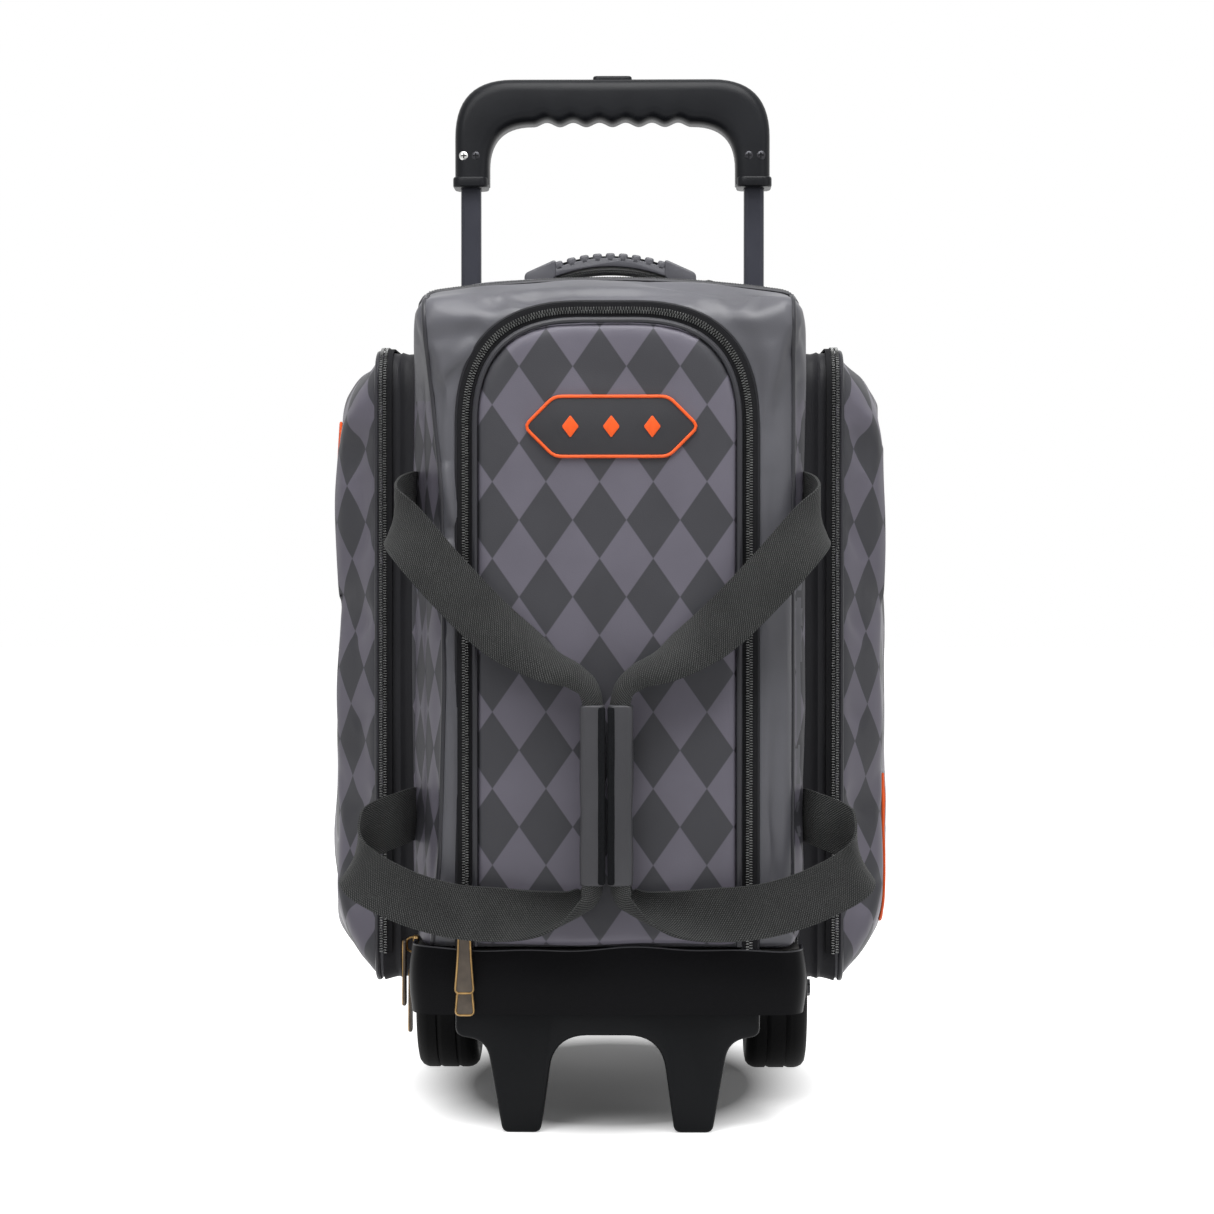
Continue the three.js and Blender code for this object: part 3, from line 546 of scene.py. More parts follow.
def make_diamonds():
    """A harlequin print: 1 in the light diamonds, 0 in the dark ones."""
    sizes = {"Width": (NUMBER, DIAMOND_WIDE), "Height": (NUMBER, DIAMOND_TALL), "Softness": (NUMBER, 0.012)}
    spots = {"U": (NUMBER, 0.0), "V": (NUMBER, 0.0)}
    tree, given, result = group("diamonds", {**spots, **sizes}, ["Mask"])
    parts = []
    for key, size in (("U", "Width"), ("V", "Height")):
        count = calc(tree, "DIVIDE", given[key], given[size])
        apart = calc(tree, "SUBTRACT", count, calc(tree, "ROUND", count))
        parts.append(calc(tree, "ABSOLUTE", apart))
    far = calc(tree, "ADD", *parts)
    high = calc(tree, "ADD", 0.5, given["Softness"])
    low = calc(tree, "SUBTRACT", 0.5, given["Softness"])
    tree.links.new(between(tree, far, low, high, 1.0, 0.0), result["Mask"])
    return tree


def make_weave():
    """Ribbed webbing: yarns along U that dip under the ribs across it."""
    given = {"U": (NUMBER, 0.0), "V": (NUMBER, 0.0), "Rib": (NUMBER, 0.0017), "Yarn": (NUMBER, 0.0013)}
    tree, given, result = group("weave", given, ["Height"])
    along, across = [
        calc(tree, "MULTIPLY", calc(tree, "DIVIDE", given[key], given[size]), 2 * math.pi)
        for key, size in (("U", "Rib"), ("V", "Yarn"))
    ]
    lean = calc(tree, "ADD", along, calc(tree, "MULTIPLY", across, 0.5))
    rib = calc(tree, "SINE", lean)
    yarn = calc(tree, "ABSOLUTE", calc(tree, "SINE", calc(tree, "MULTIPLY", across, 0.5)))
    height = calc(tree, "MULTIPLY", calc(tree, "ADD", rib, 1.0), calc(tree, "ADD", yarn, 0.3))
    tree.links.new(calc(tree, "MULTIPLY", height, 0.4), result["Height"])
    return tree


clouding, grain, diamonds, weave = make_clouding(), make_grain(), make_diamonds(), make_weave()


def use(tree, group_tree, **inputs):
    return put(tree, "ShaderNodeGroup", inputs, node_tree=group_tree).outputs[0]


def blank(name):
    material = bpy.data.materials.new(name)
    material.use_nodes = True
    tree = material.node_tree
    return material, tree, tree.nodes["Principled BSDF"]


def bumped(tree, shader, height, depth, strength=1.0):
    node = put(tree, "ShaderNodeBump", {"Height": height, "Distance": depth, "Strength": strength})
    tree.links.new(node.outputs["Normal"], shader.inputs["Normal"])


def shade(colour, factor):
    return (*[min(1.0, level * factor) for level in colour[:3]], 1.0)


def surface(name, colour, roughness, size, depth, specular=0.5, uneven=0.12, clouds=0.06, metallic=0.0):
    """An even material with a fine grain of a size and depth, and slow changes of tone and gloss."""
    colour = tone(*colour)
    material, tree, shader = blank(name)
    spots = put(tree, "ShaderNodeTexCoord").outputs["Object"]
    cloud = use(tree, clouding, Position=spots, Size=clouds)
    mixed = blended(tree, cloud, shade(colour, 1 - uneven), shade(colour, 1 + uneven))
    tree.links.new(mixed, shader.inputs["Base Color"])
    gloss = between(tree, cloud, 0.0, 1.0, roughness - 0.05, roughness + 0.05)
    tree.links.new(gloss, shader.inputs["Roughness"])
    bumped(tree, shader, use(tree, grain, Position=spots, Size=size), depth)
    shader.inputs["Specular IOR Level"].default_value = specular
    shader.inputs["Metallic"].default_value = metallic
    return material


def printed_surface(name, light, dark, roughness):
    """Coated cloth with the harlequin print laid along its UV map."""
    material, tree, shader = blank(name)
    source = put(tree, "ShaderNodeTexCoord").outputs["Object"]
    cloth = put(tree, "ShaderNodeUVMap", uv_map="cloth").outputs["UV"]
    flat = put(tree, "ShaderNodeSeparateXYZ", {"Vector": cloth})
    mask = use(tree, diamonds, U=flat.outputs["X"], V=flat.outputs["Y"])
    cloud = use(tree, clouding, Position=source, Size=0.05)
    pattern = blended(tree, mask, dark, light)
    tint = blended(tree, cloud, (0.86, 0.86, 0.86, 1.0), (1.0, 1.0, 1.0, 1.0))
    mixed = put(tree, "ShaderNodeMix", {0: 1.0, 6: pattern, 7: tint}, data_type="RGBA", blend_type="MULTIPLY")
    tree.links.new(mixed.outputs[2], shader.inputs["Base Color"])
    gloss = calc(tree, "ADD", between(tree, mask, 0.0, 1.0, roughness + 0.04, roughness - 0.04),
                 between(tree, cloud, 0.0, 1.0, -0.04, 0.04))
    tree.links.new(gloss, shader.inputs["Roughness"])
    bumped(tree, shader, use(tree, grain, Position=source, Size=0.0009), 0.00006)
    shader.inputs["Specular IOR Level"].default_value = 0.22
    return material


def woven_surface(name, dark, light):
    material, tree, shader = blank(name)
    cloth = put(tree, "ShaderNodeUVMap", uv_map="cloth").outputs["UV"]
    source = put(tree, "ShaderNodeTexCoord").outputs["Object"]
    flat = put(tree, "ShaderNodeSeparateXYZ", {"Vector": cloth})
    height = use(tree, weave, U=flat.outputs["X"], V=flat.outputs["Y"])
    cloud = use(tree, clouding, Position=source, Size=0.03)
    # Colour runs from dark in the weave's dips to light on its ribs: painted shade and painted highlight, made
    # uneven by the clouding.
    rib_highlight_and_shade = calc(tree, "MULTIPLY", height, between(tree, cloud, 0.0, 1.0, 0.7, 1.1))
    tree.links.new(blended(tree, rib_highlight_and_shade, dark, light), shader.inputs["Base Color"])
    shader.inputs["Roughness"].default_value = 0.62
    shader.inputs["Specular IOR Level"].default_value = 0.15
    shader.inputs["Sheen Weight"].default_value = 0.05
    bumped(tree, shader, height, 0.0005)
    return material


plain_cloth = surface("coated_fabric_plain", (79, 79, 84), 0.4, 0.0009, 0.00006, 0.3)
printed_cloth = printed_surface("coated_fabric_print", tone(97, 94, 104), tone(58, 58, 62), 0.44)
black_cloth = surface("black_fabric", (32, 32, 35), 0.55, 0.0012, 0.0001, 0.15)
bumper_vinyl = surface("bumper_vinyl", (11, 11, 13), 0.4, 0.0011, 0.00005, 0.05)
piping_vinyl = surface("piping_vinyl", (44, 44, 48), 0.35, 0.0015, 0.00004, 0.25)
tape_cloth = surface("zip_tape", (24, 24, 26), 0.75, 0.0008, 0.00012, 0.1)
zip_nylon = surface("zip_nylon", (70, 71, 70), 0.25, 0.002, 0.00002, uneven=0.4, clouds=0.004)
# The webbing's dark and light tones are the painted shade in the weave's dips and the painted highlight on its
# ribs.
webbing_cloth = woven_surface("webbing", tone(17, 18, 19), tone(74, 75, 74))
wrap_leather = surface("wrap_leatherette", (58, 58, 61), 0.42, 0.0011, 0.00012, 0.22)
fastener_pile = surface("fastener_pile", (20, 21, 23), 0.95, 0.0007, 0.0006, 0.1)
moulded_black = surface("moulded_black", (18, 19, 22), 0.36, 0.0006, 0.00003, 0.14)
foot_plastic = surface("foot_plastic", (16, 17, 19), 0.38, 0.0007, 0.00004, 0.08)
rib_rubber = surface("grip_rubber", (70, 70, 75), 0.45, 0.0008, 0.00005, 0.35)
badge_black = surface("badge_black", (48, 48, 51), 0.5, 0.0008, 0.00005, 0.2)
badge_orange = surface("badge_orange", (226, 88, 34), 0.5, 0.001, 0.00003, 0.25, uneven=0.05)
tube_metal = surface("tube_metal", (50, 51, 58), 0.36, 0.0004, 0.00001, 0.2, metallic=0.5)
bright_steel = surface("bright_steel", (190, 190, 188), 0.28, 0.0005, 0.00002, metallic=1.0)
black_steel = surface("black_steel", (52, 52, 55), 0.35, 0.0005, 0.00002, metallic=0.9)
aged_brass = surface("aged_brass", (146, 118, 76), 0.4, 0.0008, 0.00004,
                     uneven=0.3, clouds=0.008, metallic=0.9)
pull_enamel = surface("pull_enamel", (70, 62, 54), 0.45, 0.0008, 0.00005,
                      uneven=0.25, clouds=0.01, metallic=0.5)
tyre_rubber = surface("tyre_rubber", (10, 10, 11), 0.6, 0.0012, 0.0001, 0.1)
foam_black = surface("foam_black", (48, 48, 51), 0.95, 0.0016, 0.0006, 0.1)
fibre_board = surface("fibre_board", (56, 55, 54), 0.85, 0.0012, 0.0002, 0.2)


# ---------- Camera, light and floor ----------

EYE_DISTANCE = 2.0
EYE = Vector((0.030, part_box("front_pocket")[0].y - EYE_DISTANCE, 0.4066))
LOOK_DOWN = 0.9425  # degrees
TURN = math.atan(EYE.x / EYE_DISTANCE)
LENS, SENSOR = 84.7, 36
SHADOW_X, SHADOW_Y, SHADOW_MIDDLE = 0.15, 0.24, 0.06  # the oval of floor that shows a shadow


def place_camera():
    bpy.ops.object.camera_add(location=EYE, rotation=(math.radians(90 - LOOK_DOWN), 0, TURN))
    camera = bpy.context.object
    camera.data.sensor_width = SENSOR
    camera.data.lens = LENS
    bpy.context.scene.camera = camera


def place_lamp(name, place, target, size, watts):
    bpy.ops.object.light_add(type="AREA", location=place)
    lamp = bpy.context.object
    lamp.name = name
    lamp.data.size = size
    lamp.data.energy = watts
    lamp.rotation_mode = "QUATERNION"
    lamp.rotation_quaternion = (Vector(target) - Vector(place)).to_track_quat("-Z", "Y")


def seen_or_mirrored(tree):
    """1 for rays from the camera and for those that a gloss or clear surface sends on."""
    path = put(tree, "ShaderNodeLightPath").outputs
    return calc(tree, "MAXIMUM", path["Is Camera Ray"],
                calc(tree, "MAXIMUM", path["Is Glossy Ray"], path["Is Transmission Ray"]))


def light_the_room():
    place_lamp("key", (-0.6, -1.3, 1.6), (0, -0.1, 0.45), 0.9, 13)
    place_lamp("top", (0.15, -0.5, 1.65), (0, 0.0, 0.55), 1.0, 27)
    place_lamp("fill", (1.9, -1.7, 1.2), (0, 0, 0.5), 1.4, 6)
    world = bpy.data.worlds.new("studio")
    bpy.context.scene.world = world
    world.use_nodes = True
    tree = world.node_tree
    back = tree.nodes["Background"]
    back.inputs["Color"].default_value = (1, 1, 1, 1)
    tree.links.new(between(tree, seen_or_mirrored(tree), 0.0, 1.0, 0.24, 1.0), back.inputs["Strength"])


def lay_floor():
    bpy.ops.mesh.primitive_plane_add(size=14, location=(0, 4, 0))
    floor = named("floor")
    bpy.ops.object.transform_apply(location=True)
    material, tree, shader = blank("floor_paint")
    shader.inputs["Base Color"].default_value = (0.86, 0.86, 0.86, 1)
    shader.inputs["Roughness"].default_value = 0.9
    shader.inputs["Specular IOR Level"].default_value = 0.0
    shader.inputs["Emission Color"].default_value = (1, 1, 1, 1)
    spots = put(tree, "ShaderNodeTexCoord").outputs["Object"]
    place, scale = (0, -SHADOW_MIDDLE / SHADOW_Y, 0), (1 / SHADOW_X, 1 / SHADOW_Y, 1)
    inputs = {"Vector": spots, "Location": place, "Scale": scale}
    oval = put(tree, "ShaderNodeMapping", inputs).outputs["Vector"]
    far = put(tree, "ShaderNodeVectorMath", {0: oval}, operation="LENGTH").outputs["Value"]
    open_floor = between(tree, far, 0.7, 1.1, 0.03, 1.0)
    glow = calc(tree, "MULTIPLY", seen_or_mirrored(tree), open_floor)
    tree.links.new(glow, shader.inputs["Emission Strength"])
    floor.data.materials.append(material)


# ---------- Body ----------

DOOR_LOW, DOOR_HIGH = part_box("front_panel")
SHELL_LOW, SHELL_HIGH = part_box("main_shell")
SHOULDER_FALL = 18 * MM
EDGE_ROUND = 12 * MM
SKIN = 3.2 * MM
SEAM_Y = (DOOR_HIGH.y + SHELL_LOW.y) / 2
SHOULDER_SLOPE = SHOULDER_FALL / (DOOR_HIGH.y - DOOR_LOW.y)
CROWN_HALF, CROWN_RISE, CROWN_FALL = 0.107, 2.5 * MM, 6.5 * MM

ARCH_LOW, ARCH_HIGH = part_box("front_pocket")
ARCH_CORNER = 74 * MM
COIL_OUT = 6 * MM  # from the pocket's edge to the middle of its zip


def arch_corners(grow, foot):
    return arch(ARCH_HIGH.x + grow, ARCH_HIGH.z + grow, foot, ARCH_CORNER + grow)


def crown(points):
    """The top is bowed: highest in the middle and falling to both sides."""
    points = points.copy()
    share = (points[:, 0] / CROWN_HALF) ** 2
    near_top = ease((points[:, 2] - 0.54) / 0.05)
    not_front = 0.25 + 0.75 * ease((points[:, 1] - DOOR_LOW.y) / 0.05)
    points[:, 2] += (CROWN_RISE - CROWN_FALL * share) * near_top * not_front
    return points


def outside_arch(points):
    """0 on the arched pocket's seat, rising to 1 a little way outside its zip."""
    line = evenly(rounded(arch_corners(0.0135, 0.0), closed=False), PATH_STEP)
    right = line[line[:, 0] > 0]
    order = np.argsort(right[:, 1])
    edge = np.interp(points[:, 2], right[order, 1], right[order, 0], right=0)
    flat = points[:, [0, 2]]
    gap = np.full(len(points), 1.0)
    for spot in line:
        gap = np.minimum(gap, np.linalg.norm(flat - spot, axis=1))
    gap[np.abs(points[:, 0]) < edge] = 0
    return ease(gap / 0.016)


def door_freedom(points):
    behind = ease((points[:, 1] - DOOR_LOW.y - 0.012) / 0.01)
    share = np.maximum(outside_arch(points), behind)
    share *= ease((SEAM_Y - points[:, 1]) / 0.02)
    return share * ease((points[:, 2] - DOOR_LOW.z) / 0.02)


def left_edge_at(height):
    """How far left of the middle the left piping runs; it drifts in down to the lower third."""
    return np.interp(height, [0.13, 0.2, 0.32, 0.46, 0.56, 0.62], [0.124, 0.118, 0.115, 0.117, 0.128, 0.131])


def lean_left(points):
    """Outside the left piping the front's skin falls back towards the side."""
    points = points.copy()
    past = np.clip(-points[:, 0] - left_edge_at(points[:, 2]), 0, None)
    low = ease((0.575 - points[:, 2]) / 0.04) * ease((points[:, 1] - SEAM_Y) / -0.03)
    points[:, 1] += past * 0.9 * low
    return points


DOOR_FOLD_SCALE = 1.5
DOOR_FOLDS = [  # from, to, width, depth in mm before the scale
    ((-0.128, -0.147, 0.560), (-0.086, -0.147, 0.572), 0.007, 2.6),
    ((-0.120, -0.147, 0.535), (-0.092, -0.147, 0.560), 0.006, -2.2),
    ((-0.126, -0.147, 0.510), (-0.104, -0.147, 0.548), 0.006, 2.0),
    ((-0.075, -0.130, 0.594), (-0.030, -0.147, 0.592), 0.008, 2.4),
    ((0.020, -0.100, 0.600), (0.100, -0.135, 0.590), 0.009, 2.8),
    ((0.060, -0.142, 0.586), (0.120, -0.147, 0.560), 0.008, 1.8),
    ((0.110, -0.147, 0.500), (0.118, -0.147, 0.560), 0.006, -1.6),
    ((-0.108, -0.147, 0.430), (-0.114, -0.147, 0.475), 0.005, -3.0),
    ((-0.107, -0.147, 0.395), (-0.113, -0.147, 0.420), 0.005, -3.0),
    ((-0.116, -0.147, 0.350), (-0.110, -0.147, 0.400), 0.006, 2.5),
    ((-0.112, -0.147, 0.180), (-0.109, -0.147, 0.330), 0.006, -2.6),
    ((-0.120, -0.140, 0.150), (-0.118, -0.140, 0.260), 0.005, 2.2),
    ((0.118, -0.147, 0.160), (0.122, -0.147, 0.330), 0.006, 1.8),
    ((0.127, -0.147, 0.250), (0.129, -0.147, 0.380), 0.005, -2.0),
    ((0.112, -0.147, 0.380), (0.116, -0.147, 0.470), 0.006, 1.5),
]


def door_section(inset):
    back, face = DOOR_HIGH.y + PAST_CUT, DOOR_LOW.y + inset
    return [
        (back, DOOR_LOW.z + inset, 0), (face, DOOR_LOW.z + inset, 4 * MM),
        (face, DOOR_HIGH.z - SHOULDER_FALL - inset, 14 * MM),
        (back, DOOR_HIGH.z + SHOULDER_SLOPE * PAST_CUT - inset, 0),
    ]


def make_door():
    """The fold-down front: a soft box, open at the back."""
    piece = cushion("door", door_section, "x", DOOR_LOW.x, DOOR_HIGH.x, EDGE_ROUND)
    swell(piece, 0.005, 5 * MM, door_freedom, slack=0.03)
    move_points(piece, lean_left)
    move_points(piece, crown)
    rumple(piece, 0.05, 2.6 * MM, 3.0, door_freedom, squeeze=(1.0, 1.0, 0.6))
    for start, end, width, depth in DOOR_FOLDS:
        fold(piece, start, end, width, depth * DOOR_FOLD_SCALE * MM)
    cut_off(piece, (0, DOOR_HIGH.y, 0), (0, 1, 0))
    improve(piece, "SOLIDIFY", thickness=SKIN, offset=-1)

    def around(points):
        side = np.where(points[:, 0] < 0, -1.0, 1.0)
        reach = np.abs(points[:, 0]) + (points[:, 1] - DOOR_LOW.y)
        return np.column_stack([side * reach * 1.3 + PRINT_X, points[:, 2] - PRINT_Z])

    unwrap(piece, around)
    hand_over(piece, "front", "coated_fabric", plain_cloth, printed_cloth, stands_for=["front_panel"])

    def on_side(spot, way):
        left = spot.x < -left_edge_at(spot.z) - 0.5 * MM and way.x < 0.3 and way.y < 0.5
        return spot.z < 0.52 and (left or (spot.x > 0.13 and way.x > 0.8))

    paint(piece, 1, on_side)


def shell_section(inset):
    front = SHELL_LOW.y - PAST_CUT
    low, high, back = SHELL_LOW.z + inset, SHELL_HIGH.z - inset, SHELL_HIGH.y - inset
    return [
        (front, low, 0), (back, low, 8 * MM), (back, high - 8 * MM, 14 * MM),
        (back - 26 * MM, high, 8 * MM), (SHELL_LOW.y + 16 * MM, high, 14 * MM),
        (front, high - 12 * MM, 0),
    ]


def make_shell():
    """The main compartment, open at the front where the zip runs."""

    def freedom(points):
        share = ease((points[:, 1] - SEAM_Y - 0.008) / 0.02)
        on_top = ease((points[:, 2] - 0.585) / 0.015)
        return share * (0.2 + 0.8 * on_top)

    piece = cushion("shell", shell_section, "x", SHELL_LOW.x, SHELL_HIGH.x, EDGE_ROUND)
    swell(piece, 0.006, 3 * MM, freedom)
    move_points(piece, crown)
    rumple(piece, 0.06, 1.6 * MM, 8.0, freedom)
    cut_off(piece, (0, SHELL_LOW.y, 0), (0, -1, 0))
    improve(piece, "SOLIDIFY", thickness=SKIN, offset=-1)
    hand_over(piece, "bag", "coated_fabric", plain_cloth, stands_for=["main_shell"])


def make_door_piping():
    """Piping round each side panel of the front: up its front edge and back along the shoulder."""
    for side, sign in SIDES.items():
        face, top = DOOR_LOW.y - 0.6 * MM, DOOR_HIGH.z - SHOULDER_FALL
        corners = [
            (face, DOOR_LOW.z + 3 * MM, 0), (face, top + 0.4 * MM, 12 * MM),
            (SEAM_Y - 9 * MM, top + SHOULDER_SLOPE * (SEAM_Y - DOOR_LOW.y), 0),
        ]
        line = evenly(rounded(corners, closed=False), PATH_STEP)
        reach = left_edge_at(line[:, 1]) if sign < 0 else np.full(len(line), 0.1312)
        spots = np.column_stack([sign * reach, line])
        out = np.tile([0.0, -1.0, 0.0], (len(spots), 1))
        out[:, 2] = 2 * ease((spots[:, 1] - DOOR_LOW.y) / 0.012)
        out /= np.linalg.norm(out, axis=1, keepdims=True)
        spots = laid_on(skin_of("door"), crown(spots), out, 0.5 * MM)
        lay_cord(f"door_piping_{side}", np.column_stack([spots, out]), 1.8 * MM, "front", piping_vinyl)


def make_pocket_pad():
    """The arched pocket on the front, printed with diamonds, with piping round its edge."""

    def section(inset):
        corners = arch_corners(-inset, ARCH_LOW.z + inset)
        return [(u, v, radius or 6 * MM) for u, v, radius in corners]

    def freedom(points):
        return ease((points[:, 1] - ARCH_LOW.y) / 0.004)

    piece = cushion("front_pocket_pad", section, "y", ARCH_LOW.y, ARCH_HIGH.y + 12 * MM, 9 * MM)
    swell(piece, 0.0045, 2 * MM, freedom)

    def dents(points):
        flat = ease((0.090 - np.abs(points[:, 0])) / 0.02)
        clear = 1 - np.exp(-(((points[:, 0] - 0.003) / 0.075) ** 4) - (((points[:, 2] - 0.5) / 0.032) ** 4))
        return flat * clear

    rumple(piece, 0.045, 1.6 * MM, 21.0, dents)
    move_points(piece, lambda points: np.column_stack(
        [points[:, 0], np.maximum(points[:, 1], ARCH_LOW.y - 0.2 * MM), points[:, 2]]))
    cut_off(piece, (0, ARCH_HIGH.y, 0), (0, 1, 0), fill=True)
    unwrap(piece, lambda points: np.column_stack([points[:, 0] + PRINT_X, points[:, 2] - PRINT_Z]))
    hand_over(piece, "front", "coated_fabric", printed_cloth, stands_for=["front_pocket"])
    rim = rounded(arch_corners(-1.2 * MM, ARCH_LOW.z + 1 * MM), closed=False, steps=16)
    path = outline_path(rim, "y", ARCH_LOW.y + 3.2 * MM)
    lay_cord("front_pocket_piping", path, 2.1 * MM, "front", piping_vinyl)


# ---------- Zips ----------

COIL_PITCH = 1.9 * MM
TOOTH_THICK, TOOTH_WIDE, TOOTH_TALL = 1.0 * MM, 2.6 * MM, 1.3 * MM


def lay_row(name, path, shift, body, late=False):
    """One row of a zip's coil beside its middle line. late starts it half a pitch on."""
    rows = evenly(path, COIL_PITCH)
    if late:
        rows = (rows[:-1] + rows[1:]) / 2
    across = np.cross(headings(rows[:, :3]), rows[:, 3:6])
    rows[:, :3] += across * shift
    low = (-TOOTH_THICK / 2, -TOOTH_WIDE / 2, 0)
    item = block("tooth", low, (TOOTH_THICK / 2, TOOTH_WIDE / 2, TOOTH_TALL), 0.35 * MM, 1)
    piece = set_along(name, item, rows)
    throw_away(item)
    return hand_over(piece, body, "black_fabric", zip_nylon, smooth=20)


def sideways_path(path):
    """The same path with its outward direction turned to lie flat, for a coil seen from the front."""
    path = path.copy()
    path[:, 3:6] = (0, -1, 0)
    return path


def make_front_pocket_zip():
    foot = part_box("front_pocket_zip")[0].z
    face = ARCH_HIGH.y
    line = rounded(arch_corners(COIL_OUT, foot + 1 * MM), closed=False, steps=16)
    path = sideways_path(outline_path(line, "y", face))
    tape = sweep("front_pocket_tape", path, flat_section(-5.6 * MM, 5.6 * MM, 0.0, 2.4 * MM))
    hand_over(tape, "front", "black_fabric", tape_cloth, stands_for=["front_pocket_zip"])
    path[:, 1] -= 2.3 * MM
    lay_row("front_pocket_coil_inner", path, 1.15 * MM, "front")
    lay_row("front_pocket_coil_outer", path, -1.15 * MM, "front", late=True)
    edge = rounded(arch_corners(12.2 * MM, foot + 1 * MM), closed=False, steps=16)
    path = outline_path(edge, "y", face - 0.6 * MM)
    lay_cord("front_pocket_zip_edge", path, 1.3 * MM, "front", black_cloth)


def make_main_zip():
    """The zip between the front and the shell: a tape and a row of coil on each."""
    for name, node, body, sign in (
        ("shell", "main_zip_shell_side", "bag", 1), ("door", "main_zip_front_side", "front", -1),
    ):
        low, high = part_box(node)
        side, top = high.x - 1.8 * MM, high.z - 1.8 * MM
        line = rounded(arch(side, top, low.z, 11 * MM), closed=False, steps=6)
        path = outline_path(line, "y", (low.y + high.y) / 2)
        half = (high.y - low.y) / 2
        tape = sweep(f"main_tape_{name}", path, flat_section(-half, half, -0.6 * MM, 0.9 * MM))
        move_points(tape, crown)
        hand_over(tape, body, "black_fabric", tape_cloth, stands_for=[node])
        path[:, 1] = SEAM_Y + sign * 1.75 * MM
        path[:, :3] += path[:, 3:6] * 0.6 * MM
        coil = lay_row(f"main_coil_{name}", path, 0.0, body, late=sign < 0)
        move_points(coil, crown)
        path[:, 1] = (low.y if sign < 0 else high.y) - sign * 0.4 * MM
        cord = sweep(f"main_piping_{name}", path, round_section(1.7 * MM))
        move_points(cord, crown)
        hand_over(cord, body, "black_fabric", piping_vinyl)


# ---------- Side pockets ----------

HOOP_LOW, HOOP_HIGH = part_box("pocket_hoop_right")
COVER_LOW, COVER_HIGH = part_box("pocket_cover_right")
ZIP_LOW, ZIP_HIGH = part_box("pocket_zip_right")
COVER_MIDDLE = (HOOP_LOW.z + HOOP_HIGH.z) / 2
ZIP_BACK_FOOT = 0.183


def pocket_corners(inset):
    front, back = HOOP_LOW.y + inset, HOOP_HIGH.y - inset
    low, high = HOOP_LOW.z + inset, HOOP_HIGH.z - inset
    slant = inset * 0.4
    return [
        (front, low, 22 * MM), (0.0473 - slant, low, 10 * MM), (back, 0.1502 + slant, 10 * MM),
        (back, high, 32 * MM), (front, high, 32 * MM),
    ]


def bulge(points):
    """How full the pocket stands at each height, 1 in the middle."""
    share = (points[:, 2] - COVER_MIDDLE) / ((HOOP_HIGH.z - HOOP_LOW.z) / 2)
    flat = np.where(share > 0, 0.79, 0.62)
    return 1 - flat * np.abs(share) ** 4.2


COVER_FOLDS = [
    ((0.178, -0.060, 0.500), (0.196, -0.035, 0.470), 0.008, 1.8),
    ((0.172, -0.062, 0.440), (0.190, -0.045, 0.405), 0.007, 2.2),
    ((0.174, -0.060, 0.372), (0.192, -0.040, 0.345), 0.007, 2.4),
    ((0.172, -0.062, 0.300), (0.190, -0.045, 0.285), 0.008, 2.0),
    ((0.174, -0.060, 0.235), (0.194, -0.035, 0.215), 0.007, 2.2),
    ((0.172, -0.060, 0.180), (0.188, -0.045, 0.160), 0.008, 2.0),
    ((0.186, 0.085, 0.480), (0.198, 0.040, 0.440), 0.009, 1.8),
    ((0.186, 0.085, 0.300), (0.198, 0.045, 0.330), 0.009, 1.8),
]


